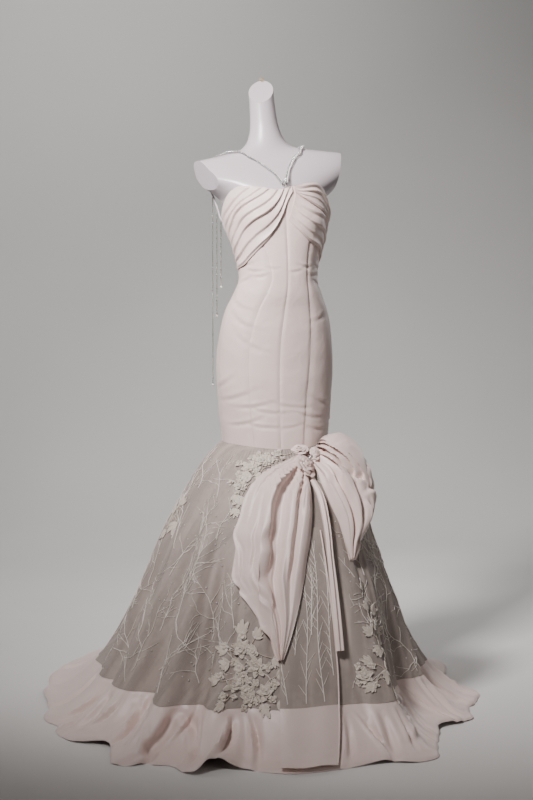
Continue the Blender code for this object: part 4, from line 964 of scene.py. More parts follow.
class GownColours(bpy.types.PropertyGroup):
    """Colours of the cloths, the form and the trim."""

    satin: colour_property("Satin", "Body, band and bow", (0.80, 0.645, 0.605))
    net: colour_property("Net", "Threads of the tulle", (0.56, 0.485, 0.445))
    # Cloth behind the net: its own colour, darkened with painted shade of the skirt's inside seen through the
    # net
    shaded_lining: colour_property("Lining", "Cloth behind the net", (0.33, 0.270, 0.245))
    lace: colour_property("Lace", "Raised flowers and leaves", (0.68, 0.585, 0.50))
    cording: colour_property("Cording", "Embroidered branches", (0.90, 0.83, 0.77))
    form: colour_property("Form", "Moulded torso", (0.54, 0.480, 0.510))
    silver: colour_property("Silver", "Metal beads", (0.46, 0.44, 0.42))
    crystal: colour_property("Crystal", "Cut glass beads", (0.62, 0.62, 0.64))
    pearl: colour_property("Pearl", "Pearl beads and sequins", (0.86, 0.83, 0.80))
    brass: colour_property("Brass", "Eye on the neck", (0.72, 0.55, 0.28))
    steel: colour_property("Steel", "Pole and base", (0.62, 0.63, 0.66))


def sizes():
    return bpy.context.scene.gown_sizes


def body_stations():
    """Angles and heights of the seams' columns, and each row's share between joint and neckline."""
    columns = np.arange(len(PANEL_NAMES) * PANEL_COLUMNS + 1)
    share = np.linspace(0.0, 1.0, BODY_ROWS + 1)
    guess = np.interp(columns / PANEL_COLUMNS, np.arange(len(SEAMS[0]) - 1), SEAMS[3, 1:])
    part = np.minimum(columns // PANEL_COLUMNS, len(PANEL_NAMES) - 1)
    mix = columns / PANEL_COLUMNS - part
    turn = np.repeat(guess[None, :], len(share), axis=0)
    for _ in range(3):
        level = joint_height(turn) + share[:, None] * (neckline(turn) - joint_height(turn))
        seam = np.stack([curve(level, SEAMS[:, 0], SEAMS[:, c]) for c in range(1, SEAMS.shape[1])])
        rows = np.arange(len(share))[:, None]
        turn = (seam[part[None, :], rows, columns[None, :]] * (1 - mix)
                + seam[part[None, :] + 1, rows, columns[None, :]] * mix)
    level = joint_height(turn) + share[:, None] * (neckline(turn) - joint_height(turn))
    return turn, level


def seam_dip(steps, deep, near=0.055):
    """Pull of the cloth towards the seams at both sides of a panel, from 0 in its middle."""
    across = np.linspace(0.0, 1.0, steps)
    return -deep * (np.exp(-(across / near) ** 2) + np.exp(-((1 - across) / near) ** 2))


def shortened(grid, start=0.0, end=0.0, top=0.0, bottom=0.0):
    """A grid shortened at its edges, by distances along the cloth."""
    grid = grid.copy()
    for lines, first, last in ((grid, top, bottom), (grid.swapaxes(0, 1), start, end)):
        for edge, beside, gap in ((0, 1, first), (-1, -2, last)):
            lines[edge] += gap * unit(lines[beside] - lines[edge])
    return grid


class GOWN_OT_form(bpy.types.Operator):
    """Limbless torso with slanted cuts, and the finishes of its pole, base and eye"""

    bl_idname = "gown.form"
    bl_label = "Form and stand"

    def execute(self, context):
        angle = np.linspace(-180.0, 180.0, FORM_SIDES + 1)[:-1]
        low = FORM_BOTTOM + 0.0 * angle
        levels = [low] + [np.full(angle.shape, z) for z in np.linspace(*FORM_RINGS)]
        rings = np.stack([form_point(angle, level) for level in levels])
        builder = bmesh.new()
        loops = [[builder.verts.new(p) for p in ring] for ring in rings]
        for under, over in zip(loops, loops[1:]):
            for j in range(len(under)):
                k = (j + 1) % len(under)
                builder.faces.new((under[j], under[k], over[k], over[j]))
        builder.faces.new(loops[0])
        builder.faces.new(loops[-1])
        bmesh.ops.recalc_face_normals(builder, faces=builder.faces)
        for place, direction in FORM_CUTS:
            faces = [face for face in builder.faces if min(v.co.z for v in face.verts) > CUT_FLOOR]
            geometry = list(dict.fromkeys(part for face in faces for part in (*face.verts, *face.edges))) + faces
            cut = bmesh.ops.bisect_plane(builder, geom=geometry, plane_co=place, plane_no=direction,
                                         dist=1e-6, clear_outer=True)
            edges = [item for item in cut["geom_cut"] if isinstance(item, bmesh.types.BMEdge)]
            bmesh.ops.contextual_create(builder, geom=edges)
        bmesh.ops.triangulate(builder, faces=[face for face in builder.faces if len(face.verts) > 4])
        bmesh.ops.recalc_face_normals(builder, faces=builder.faces)
        mesh = bpy.data.meshes.new("torso")
        builder.to_mesh(mesh)
        builder.free()
        mesh.materials.append(finish_of("form"))
        mesh.shade_smooth()
        mesh.set_sharp_from_angle(angle=math.radians(30))
        torso = bpy.data.objects.new("torso", mesh)
        context.scene.collection.objects.link(torso)
        settle(torso, ["form_torso"])
        for node, finish in (("stand_pole", "steel"), ("stand_base", "steel"), ("neck_eye", "brass")):
            for slot in NODES[node].material_slots:
                slot.material = finish_of(finish)
        return {"FINISHED"}


class GOWN_OT_bodice(bpy.types.Operator):
    """Eight fitted satin panels from the neckline to the joint, pulled in at their seams"""

    bl_idname = "gown.bodice"
    bl_label = "Fitted panels"

    def execute(self, context):
        turn, level = body_stations()
        depth = creases(np.radians(turn) * CREASE_RADIUS, level, BODY_CREASES * CREASE_SCALE)
        fullness = EASE + EASE * np.sin(turn / 9.0 + 30.0 * level) * np.sin(17.0 * level)
        for number, name in enumerate(PANEL_NAMES):
            cols = slice(number * PANEL_COLUMNS, (number + 1) * PANEL_COLUMNS + 1)
            dip = seam_dip(PANEL_COLUMNS + 1, sizes().seam_dip)[None, :]
            out = depth[:, cols] + dip + fullness[:, cols]
            out = np.maximum(out, DEEPEST)
            outer = body_point(turn[:, cols], level[:, cols], out)
            inner = body_point(turn[:, cols], level[:, cols], np.minimum(out - 0.0006, -SATIN))
            outer, inner = (shortened(grid, SEAM / 2, SEAM / 2, bottom=0.0) for grid in (outer, inner))
            cloth(f"satin_{name}", outer, inner, "satin", [f"panel_{name}"])
        return {"FINISHED"}


def pleated(top, bottom, columns, rows, folds, flat_ends):
    """Two grids of a pleated piece over the bust, with folds that run along its lower edge."""
    u = np.linspace(0.0, 1.0, columns + 1)[None, :]
    v = np.linspace(0.0, 1.0, rows + 1)[:, None]
    top_angle, top_height = top(u)
    low_angle, low_height = bottom(u)
    angle = low_angle + (top_angle - low_angle) * v
    height = low_height + (top_height - low_height) * v
    above = height - low_height + 0.0016 * np.sin(7.0 * u + 1.0)
    lines = [np.zeros(columns + 1)] + [curve(u[0], (0.0, 0.5, 1.0), fold[:3]) for fold in folds]
    lines.append(lines[-1] + 0.035)
    lift = np.array([folds[0][3]] + [fold[3] for fold in folds])
    wave = np.zeros(height.shape)
    for low, high, rise in zip(lines, lines[1:], lift):
        part = (above - low) / (high - low)
        inside = (part >= 0) & (part < 1)
        crest = blend(0.0, 0.26, part) * np.maximum(1.0 - part, 0.0) ** 1.1 * 1.5
        wave = wave + np.where(inside, rise * crest, 0.0)
    ends = (flat_ends[0] + (1 - flat_ends[0]) * blend(0.0, 0.2, u)) * (
        flat_ends[1] + (1 - flat_ends[1]) * blend(0.0, 0.2, 1.0 - u))
    ease = (0.25 + 0.75 * blend(0.0, 0.04, v)) * (1 - blend(0.97, 1.0, v))
    wave = wave * ends * ease * (1.0 + 0.25 * np.sin(4.0 * u + 9.0 * v))
    rim = 0.0014 * np.exp(-(above / 0.0035) ** 2)
    soft = (0.0012 * np.sin(13.0 * u + 4.0 * v) * np.sin(7.0 * v + 2.0)
            * blend(0.0, 0.1, v) * (1 - blend(0.9, 1.0, v)))
    inner = body_point(angle, height, DRAPE_EASE * 0.8 + wave * 0.55)
    outer = body_point(angle, height, DRAPE_EASE + 0.0022 + wave + np.maximum(soft, -0.001) + rim)
    return outer, inner


class GOWN_OT_drapes(bpy.types.Operator):
    """Three pleated satin pieces that cross over the bust"""

    bl_idname = "gown.drapes"
    bl_label = "Bust drapes"

    def execute(self, context):
        def edge(table, first, last, drop=0.0):
            def place(u):
                angle = first + (last - first) * u
                return angle, curve(angle, table[:, 0], table[:, 1]) - drop
            return place

        def under_neckline(first, last):
            def place(u):
                angle = first + (last - first) * u
                return angle, neckline(angle) - DRAPE_TOP_GAP + 0.0008
            return place

        front_left, front_right = (
            [f"satin_front_{side}", f"satin_side_front_{side}"] for side in ("left", "right"))
        drapes = (
            ("left", under_neckline(-88.0, 8.0), edge(LEFT_DRAPE_EDGE, -90.0, 8.0), 100, 124,
             LEFT_FOLDS, (0.35, 0.5), front_left),
            ("right_upper", under_neckline(10.5, 88.0), edge(RIGHT_UPPER_EDGE, 11.5, 88.0), 80, 64,
             RIGHT_UPPER_FOLDS, (0.4, 0.45), front_right),
            ("right_lower", edge(RIGHT_UPPER_EDGE, 12.0, 88.0, DRAPE_PAIR_GAP),
             edge(RIGHT_LOWER_EDGE, 3.5, 88.0), 80, 72, RIGHT_LOWER_FOLDS, (0.4, 0.45), front_right),
        )
        for name, top, bottom, columns, rows, folds, flat_ends, under in drapes:
            outer, inner = pleated(top, bottom, columns, rows, folds, flat_ends)
            cloth(f"pleats_{name}", outer, inner, "satin", [f"drape_{name}"])
        return {"FINISHED"}


def skirt_cloth(name, start, end, rows, left, right, columns, thick, finish, node,
                extra=None, ends=(0, 0)):
    """One gore of the skirt between two shares and two angles."""
    share = np.linspace(start, end, rows + 1)[:, None]
    angle = np.linspace(left, right, columns + 1)[None, :]
    share, angle = np.broadcast_arrays(share, angle)
    out = 0.0 if extra is None else extra(share, angle)
    outer = skirt_point(share, angle, out)
    inner = skirt_point(share, angle, out - thick)
    outer, inner = (shortened(grid, SEAM / 2, SEAM / 2, *ends) for grid in (outer, inner))
    return cloth(name, outer, inner, finish, [node])


def band_depth(share, angle):
    """Creases of the satin band, and the roll of its hem."""
    deep = creases(np.radians(angle) * BAND_RADIUS, share, BAND_ROWS)
    roll = 0.004 * blend(0.955, 0.985, share) * (1 - blend(0.992, 1.0, share))
    near_seam = -0.0012 * np.exp(-((share - BAND_START) / 0.006) ** 2)
    return deep * blend(BAND_START, 0.86, share) + roll + near_seam


def front_panel_place(share, across):
    """Angle and height over the skirt of the loose front panel."""
    left, right, stand = (curve(share, FRONT_PANEL[:, 0], FRONT_PANEL[:, c]) for c in (1, 2, 3))
    puff = PANEL_PUFF * np.sin(math.pi * across)
    puff = puff + PANEL_PUFF * np.sin(3 * math.pi * across + 1.0) * blend(0.5, 0.9, share)
    return left + (right - left) * across, stand + puff


class GOWN_OT_skirt(bpy.types.Operator):
    """Tulle gores, the satin band below them and the loose front panel with its bound edge"""

    bl_idname = "gown.skirt"
    bl_label = "Skirt"

    def execute(self, context):
        half = SEAM / 2
        for name, left, right in GORES:
            columns = int((right - left) * 1.6)
            skirt_cloth(f"net_{name}", 0.0, BAND_START, 80, left, right, columns, sizes().tulle_wall, "tulle",
                        f"tulle_{name}",
                        ends=(half, half))
            skirt_cloth(f"hem_{name}", BAND_START, 1.0, 40, left, right, int(columns * 1.4),
                        sizes().satin_wall, "satin", f"band_{name}", band_depth, (half, 0.0))
        for name, start, end, rows, thick, finish, node in (
                ("net_front_panel", FRONT_PANEL[0, 0], BAND_START, 70, sizes().tulle_wall, "tulle",
                 "tulle_front_panel"),
                ("hem_front_panel", BAND_START, 1.0, 34, sizes().satin_wall, "satin", "band_front_panel")):
            share = np.linspace(start, end, rows + 1)[:, None]
            across = np.linspace(0.0, 1.0, 41)[None, :]
            share, across = np.broadcast_arrays(share, across)
            angle, stand = front_panel_place(share, across)
            outer, inner = (skirt_point(share, angle, stand + extra) for extra in (thick, 0.0))
            outer[..., 2] = np.maximum(outer[..., 2], SEAM + thick)
            inner[..., 2] = np.maximum(inner[..., 2], SEAM)
            outer, inner = (shortened(grid, 0.0, 0.0, half, half) for grid in (outer, inner))
            cloth(name, outer, inner, finish, [node])
        share = np.linspace(FRONT_PANEL[0, 0] + 0.01, 0.995, 90)
        angle, stand = front_panel_place(share, np.full(share.shape, 1.0))
        route = skirt_point(share, angle, stand + 0.0012)
        route[:, 2] = np.maximum(route[:, 2], 0.004)
        binding = grow("edge_binding", line_object("binding_line", [route]), cord_tree, {
            "Radius": 0.0022, "Sides": 10}, finish_of("satin"))
        settle(binding, [])
        return {"FINISHED"}


class GOWN_OT_bow(bpy.types.Operator):
    """Pointed tail with deep folds, narrow tail and the puffed loop's two layers"""

    bl_idname = "gown.bow"
    bl_label = "Bow"

    def execute(self, context):
        thick = sizes().satin_wall
        v = np.linspace(0.0, 1.0, 97)[:, None]
        u = np.linspace(0.0, 1.0, 111)[None, :]
        stations = np.linspace(0.0, 1.0, len(LEFT_TAIL))
        left_a, left_z, right_a, right_z = (curve(v, stations, LEFT_TAIL[:, c]) for c in range(4))
        angle = left_a + (right_a - left_a) * u
        height = left_z + (right_z - left_z) * u
        full = blend(0.0, 0.30, v)
        wave = 0.5 + 0.5 * np.cos(2 * math.pi * TAIL_FOLDS * u + TAIL_WIGGLE)
        calm = blend(*TAIL_CALM, v)
        drift = np.clip(u + 0.018 * np.sin(6.0 * v + 1.0) * np.sin(math.pi * u), 0.0, 1.0)
        folded = TAIL_HIGH * curve(drift, TAIL_PROFILE[:, 0], TAIL_PROFILE[:, 1])
        hanging = TAIL_STAND + TAIL_FOLD * wave * (0.4 + 0.6 * u)
        stand = TAIL_SEWN + full * (0.002 + folded + (hanging - folded) * 0.8 * calm)
        stand = np.maximum(stand + full * creases(u, v, TAIL_CREASES), 0.0009)
        hem = 0.0016 * np.exp(-(u / 0.03) ** 2)
        outer, inner = (skirt_point(skirt_share(height), angle, stand + hem + extra)
                        for extra in (thick, 0.0))
        cloth("tail_wide", outer, inner, "satin",
              ["bow_tail_left"])

        v = np.linspace(0.0, 1.0, 91)[:, None]
        u = np.linspace(0.0, 1.0, 25)[None, :]
        stations = np.linspace(0.0, 1.0, len(LONG_TAIL))
        left, right, height = (curve(v, stations, LONG_TAIL[:, c]) for c in range(3))
        angle = left + (right - left) * u
        ripple = 0.0022 * np.cos(2 * math.pi * 1.6 * u + 0.8 + 2.0 * v) * blend(0.0, 0.2, v)
        puff = LONG_TAIL_PUFF * np.sin(math.pi * u)
        stand = TAIL_SEWN + LONG_TAIL_STAND * blend(0.0, 0.3, v) + puff + ripple
        stand = np.maximum(stand, 0.0009)
        outer, inner = (skirt_point(skirt_share(height), angle, stand + extra) for extra in (thick, 0.0))
        cloth("tail_narrow", outer, inner, "satin", ["bow_tail_long"])

        v = np.linspace(0.0, 1.0, 101)[:, None]
        stations = np.linspace(0.0, 1.0, len(LOOP))
        in_a, in_z, in_d, out_a, out_z, out_d = (curve(v, stations, LOOP[:, c]) for c in range(6))
        full = np.sin(math.pi * np.clip(v, 0.0, 1.0)) ** 0.6
        for name, count, low, bulge, back in LOOP_LAYERS:
            u = np.linspace(low, 1.0, count + 1)[None, :]
            angle = in_a + (out_a - in_a) * u
            height = in_z + (out_z - in_z) * u
            plain = in_d + (out_d - in_d) * u
            rolled = curve(u, LOOP_PROFILE[:, 0], LOOP_PROFILE[:, 1])
            puffed = LOOP_LAYERS[0][3] * np.sin(math.pi * u)
            face = plain + full * (puffed + rolled + creases(u, v, LOOP_CREASES))
            if back:
                behind = plain + full * bulge * np.sin(math.pi * u)
                face = np.minimum(behind, face - LOOP_GAP) - back * (0.65 + 0.35 * full)
            stand = np.maximum(face, TAIL_SEWN)
            outer, inner = (skirt_point(skirt_share(height), angle, stand + extra) for extra in (thick, 0.0))
            cloth(name.replace("bow_", ""), outer, inner, "satin",
                  [name])
        return {"FINISHED"}


def petal(centre, axes, turn, near, far, wide, lift, rise, curl, steps=(7, 9)):
    """Outer grid of one petal, from near the middle out, cupped and curled at its rim."""
    side, up, out = axes
    a = np.linspace(0.0, 1.0, steps[0])[:, None]
    b = np.linspace(-1.0, 1.0, steps[1])[None, :]
    reach = near + (far - near) * a
    spread = wide * np.sin(math.pi * (0.16 + 0.62 * a)) * b
    around = turn + spread
    height = lift + (rise - lift) * a ** 0.7 + 0.10 * (1 - b ** 2) * a - curl * a ** 4
    flat = np.cos(around)[..., None] * side + np.sin(around)[..., None] * up
    return centre + reach[..., None] * flat + height[..., None] * out


def walls_together(name, grids, thick, finish):
    """One mesh of many small walls; each grid is thickened along its own mean normal."""
    points, faces, places, first = [], [], [], 0
    for grid in grids:
        normal = unit(np.cross(np.gradient(grid, axis=1), np.gradient(grid, axis=0)))
        own_points, own_faces, own_places = wall(grid, grid - thick * normal)
        points.append(own_points)
        faces.append(own_faces + first)
        places.append(own_places)
        first += len(own_points)
    return mesh_object(name, np.concatenate(points), np.concatenate(faces), finish, np.concatenate(places))


class GOWN_OT_roses(bpy.types.Operator):
    """Rolled satin roses at the knot, petal by petal, and a crystal between them"""

    bl_idname = "gown.roses"
    bl_label = "Roses"

    def execute(self, context):
        for name, angle, height, stand, wide, tall, thick in ROSES:
            share = float(skirt_share(height))
            centre = skirt_point(share, angle, stand)
            out = unit(skirt_point(share, angle, stand + 0.01) - centre)
            side = unit(np.cross((0.0, 0.0, 1.0), out))
            up = np.cross(out, side)
            axes = (side * wide / 2, up * tall / 2, out * thick)
            grids = []
            for count, near, far, low, high, turn in ROSE_ROWS:
                for k in range(count):
                    around = math.radians(turn) + 2 * math.pi * k / count + 0.25 * math.sin(3.7 * k + turn)
                    reach = far * (1 + 0.07 * math.sin(2.9 * k + turn))
                    grids.append(petal(centre, axes, around, near, reach, 3.4 / count, low, high, 0.22))
            u = np.linspace(0.0, 1.0, 40)[:, None]
            v = np.linspace(0.0, 1.0, 6)[None, :]
            around = 4.6 * math.pi * u
            radius = 0.03 + 0.20 * u
            flat = np.cos(around)[..., None] * axes[0] + np.sin(around)[..., None] * axes[1]
            raised = 0.45 + (0.62 - 0.1 * u) * v
            bud = centre + (radius + 0.05 * v)[..., None] * flat + raised[..., None] * axes[2]
            grids.append(bud)
            made = walls_together(name.replace("rose", "rolled_rose"), grids, 0.0009, finish_of("satin"))
            settle(made, [name])
        share = float(skirt_share(0.712))
        spots = [skirt_point(share + 0.004 * k, 15.0 + 1.0 * k, 0.024) for k in range(3)]
        stone = grow("knot_crystals", line_object("crystal_line", [np.array(spots)]), bead_tree, {
            "Spacing": 0.0075, "Radius": 0.0042}, finish_of("crystal"))
        settle(stone, [])
        return {"FINISHED"}


def on_skirt(share, angle, right, down, out):
    """Point on the skirt at distances to the right of and down from a place."""
    here = skirt_point(share, angle)
    per_share = np.linalg.norm(skirt_point(share + 0.01, angle) - here) / 0.01
    per_degree = np.linalg.norm(skirt_point(share, angle + 1.0) - here)
    lower = np.clip(share + down / per_share, 0.004, 0.998)
    turned = (angle + right / per_degree + 180.0) % 360.0 - 180.0
    return skirt_point(lower, turned, out)


def lace_petal(share, angle, turn, near, far, wide, lift, dome, tilt=0.0, steps=(6, 5)):
    """Petal on the skirt with a raised middle and a ruffled rim, its tip lifted by tilt."""
    a = np.linspace(0.0, 1.0, steps[0])[:, None]
    b = np.linspace(-1.0, 1.0, steps[1])[None, :]
    reach = near + (far - near) * a + 0.0 * b
    half = wide * np.sin(math.pi * (0.08 + 0.84 * a ** 0.85)) * b
    right = reach * math.cos(turn) - half * math.sin(turn)
    down = reach * math.sin(turn) + half * math.cos(turn)
    ruffle = 0.0012 * np.sin(2.6 * b + 5.0 * turn) * a * np.abs(b)
    vein = -0.0010 * np.exp(-(b / 0.30) ** 2) * a
    high = lift + dome * (1 - b ** 2) * np.sin(math.pi * a) + tilt * a ** 1.5 + ruffle + vein
    return on_skirt(share, angle, right, down, np.maximum(high, 0.0006))


def rim_of(grid):
    """Route along a petal's free edge."""
    return np.concatenate([grid[:, 0], grid[-1, 1:-1], grid[::-1, -1]])


class GOWN_OT_lace(bpy.types.Operator):
    """Raised lace flowers with leaves, buds and stems round them, on the tulle"""

    bl_idname = "gown.lace"
    bl_label = "Lace flowers"

    def execute(self, context):
        draws = np.random.default_rng(SEED)
        grids, hearts = [], []

        def blossom(share, angle, radius, petals, turn, lift, layers):
            for reach, start, wide, high, tilt, less in layers:
                count = petals - less
                for k in range(count):
                    around = math.radians(turn + 31 * less) + 2 * math.pi * k / count
                    around += draws.uniform(-0.16, 0.16)
                    far = radius * reach * draws.uniform(0.84, 1.12)
                    grids.append(lace_petal(share, angle, around, start * radius, far, wide * radius / count,
                                            lift + high, 0.0016, tilt * draws.uniform(0.6, 1.3)))

        for share, angle, radius, petals, turn, lift in FLOWERS:
            blossom(share, angle, radius, petals + 1, turn, lift, FLOWER_LAYERS)
            ring = np.linspace(0.0, 2 * math.pi, 7)[:-1]
            hearts.append(on_skirt(share, angle, HEART_RADIUS * np.cos(ring), HEART_RADIUS * np.sin(ring),
                                   lift + HEART_LIFT))
            for k in range(BUDS):
                way = math.radians(turn) + 2 * math.pi * (k + draws.uniform(-0.2, 0.2)) / BUDS
                reach = radius * draws.uniform(*BUD_REACH)
                here = on_skirt(share, angle, reach * math.cos(way), reach * math.sin(way), 0.0)
                bud_angle = math.degrees(math.atan2(here[0], -here[1]))
                bud_share = float(np.clip(share + BUD_FALL * reach * math.sin(way), 0.004, 0.998))
                blossom(bud_share, bud_angle, radius * draws.uniform(*BUD_RADIUS), 4, turn + 40 * k,
                        BUD_LIFT, BUD_LAYERS)
        flowers = walls_together("lace_flowers", grids, LACE_WALL, finish_of("lace"))
        settle(flowers, [f"lace_flower_{k:02d}" for k in range(1, len(FLOWERS) + 1)])
        leaves = []
        for share, angle, length, turn in LEAVES:
            way = math.radians(turn)
            for part, (aside, long) in enumerate(LEAF_PARTS):
                size = length * long * draws.uniform(0.85, 1.15)
                leaves.append(lace_petal(share, angle, way + aside, 0.001 * part, size, 0.17 * size,
                                         0.0022, 0.0013, 0.0020 * draws.random()))
        settle(walls_together("lace_leaves", leaves, LACE_WALL, finish_of("lace")), [])
        beads = grow("lace_hearts", line_object("heart_lines", hearts), bead_tree, {
            "Spacing": 0.0027, "Radius": 0.0013}, finish_of("pearl"))
        settle(beads, [])
        edges = line_object("rim_lines", [rim_of(grid) for grid in grids + leaves])
        rims = grow("lace_cords", edges, cord_tree, {
            "Radius": 0.0007, "Sides": 3}, finish_of("cording"))
        settle(rims, [])
        stems = []
        for k, (share, angle, length, turn) in enumerate(LEAVES):
            way = math.radians(turn + 180.0)
            t = np.linspace(0.0, 1.0, 9)
            bend = 0.5 * math.sin(1.7 * k) * t ** 2
            reach = 1.3 * length * t
            stems.append(on_skirt(share, angle, reach * np.cos(way + bend), reach * np.sin(way + bend),
                                  STEM_LIFT))
        trails = grow("lace_trails", line_object("trail_lines", stems), cord_tree, {
            "Radius": 0.0010, "Sides": 5}, finish_of("lace"))
        settle(trails, [])
        return {"FINISHED"}


def under_bow(share, angle):
    """True where the bow or the front panel lies over the skirt."""
    bow = -37.0 + 45.0 * max(share - 0.25, 0.0) < angle < 18.0 and share < 0.72
    return bow or (-13.5 < angle < 12.0 and share > 0.27)


def branch_routes(random):
    """Wandering stems up the tulle, each with side twigs that fork once."""
    routes, thick = [], []

    def walk(share, angle, heading, steps, stride, wander, width, depth):
        points, widths = [], []
        for k in range(steps):
            here = skirt_base(np.array([share, share + 0.01, share]), np.array([angle, angle, angle + 1.0]))
            per_share = np.linalg.norm(here[1] - here[0]) / 0.01
            per_degree = np.linalg.norm(here[2] - here[0])
            points.append((share, angle))
            widths.append(width * (1.0 - 0.55 * k / steps))
            if depth and k > 1 and random.random() < (0.55 if depth == 2 else 0.30):
                side = random.choice((-1.0, 1.0))
                turned = heading + side * random.uniform(0.45, 1.0)
                length = int(random.uniform(3, 8) if depth == 2 else random.uniform(2, 5))
                walk(share, angle, turned, length, stride * 0.8, wander * 1.2, width * 0.72, depth - 1)
            heading += random.normal(0.0, wander)
            share -= stride * math.cos(heading) / per_share
            angle += stride * math.sin(heading) / per_degree
            if not 0.02 < share < BAND_START - 0.006:
                break
        if len(points) > 2:
            place = np.array(points)
            shown = [not under_bow(*row) for row in points]
            last = shown.index(False) if False in shown else len(points)
            if last > 2:
                turned = (place[:last, 1] + 180.0) % 360.0 - 180.0
                routes.append(skirt_point(place[:last, 0], turned, 0.0010))
                thick.append(np.array(widths[:last]))

    for start, count, tall in BRANCH_ROWS:
        for k in range(count):
            angle = -180.0 + 360.0 * (k + 0.8 * random.random()) / count
            lean = random.normal(0.0, 0.55)
            walk(start - 0.08 * random.random(), angle, lean, tall, 0.017, 0.20, 1.0, 2)
    return routes, thick


class BranchRandom:
    """Seeded draws for the embroidery."""

    def __init__(self, seed):
        self.draws = np.random.default_rng(seed)

    def random(self):
        return float(self.draws.random())

    def normal(self, middle, spread):
        return float(self.draws.normal(middle, spread))

    def uniform(self, low, high):
        return float(self.draws.uniform(low, high))

    def choice(self, options):
        return options[int(self.draws.integers(len(options)))]


def panel_routes(random, routes, thick):
    """Close stems and twigs on the loose front panel."""
    for stem in range(PANEL_STEMS):
        across = (stem + 0.25 + 0.5 * random.random()) / PANEL_STEMS
        first = random.uniform(0.05, 0.20) if stem % 2 else 0.0
        share = np.linspace(BAND_START - 0.012 - first, FRONT_PANEL[0, 0] + 0.02 + 0.5 * first, 44)
        middle = across + 0.05 * np.sin(random.uniform(9, 17) * share + 7.0 * stem)
        angle, stand = front_panel_place(share, middle)
        routes.append(skirt_point(share, angle, stand + 0.0020))
        thick.append(np.linspace(1.0, 0.6, len(share)))
        for k in range(2, 40, 2):
            side = random.choice((-1.0, 1.0))
            t = np.linspace(0.0, 1.0, 6)
            twig_share = share[k] - random.uniform(0.02, 0.055) * t
            reach = random.uniform(0.05, 0.16)
            twig_across = np.clip(middle[k] + side * reach * t ** random.uniform(0.7, 1.4), 0.03, 0.97)
            twig_angle, twig_stand = front_panel_place(twig_share, twig_across)
            shown = twig_share > FRONT_PANEL[0, 0] + 0.004
            if shown.sum() > 3:
                routes.append(skirt_point(twig_share, twig_angle, twig_stand + 0.0020)[shown])
                thick.append(np.linspace(0.75, 0.4, 6)[shown])


class GOWN_OT_embroidery(bpy.types.Operator):
    """Corded branches and scattered sequins on the tulle"""

    bl_idname = "gown.embroidery"
    bl_label = "Embroidery"

    def execute(self, context):
        routes, thick = branch_routes(BranchRandom(SEED))
        panel_routes(BranchRandom(SEED + 1), routes, thick)
        branches = grow("branch_cords", line_object("branch_lines", routes, thick), cord_tree, {
            "Radius": sizes().cord_radius, "Sides": 4},
            finish_of("cording"))
        settle(branches, [])
        share, angle = np.broadcast_arrays(np.linspace(0.03, BAND_START - 0.01, 60)[:, None],
                                           np.linspace(-180.0, 180.0, 181)[None, :])
        sheet = skirt_point(share, angle, 0.0010)
        number = np.arange(sheet[..., 0].size).reshape(sheet.shape[:2])
        faces = []
        for i in range(sheet.shape[0] - 1):
            for j in range(sheet.shape[1] - 1):
                if not under_bow(share[i, j], angle[i, j]):
                    faces.append((number[i, j], number[i + 1, j], number[i + 1, j + 1], number[i, j + 1]))
        ground = mesh_object("sequin_ground", sheet.reshape(-1, 3), [tuple(map(int, f)) for f in faces],
                             finish_of("pearl"))
        sequins = grow("sequins", ground, sequin_tree, {
            "Density": sizes().sequin_density, "Seed": SEED,
            "Radius": sizes().sequin_radius, "Top": 0.0006,
            "Depth": 0.0008}, finish_of("pearl"))
        settle(sequins, [])
        return {"FINISHED"}


def beside(route, lift_side):
    """The same route moved sideways over the form it lies on."""
    ahead = unit(np.gradient(route, axis=0))
    away = unit(route - np.array((0.0, 0.07, 0.0)) - ahead * np.sum(
        (route - np.array((0.0, 0.07, 0.0))) * ahead, axis=-1, keepdims=True))
    return route + lift_side * unit(np.cross(ahead, away))


def beads(name, lines, spacing, radius, finish):
    return grow(name, line_object(name + "_lines", lines), bead_tree, {
        "Spacing": spacing, "Radius": radius}, finish_of(finish))


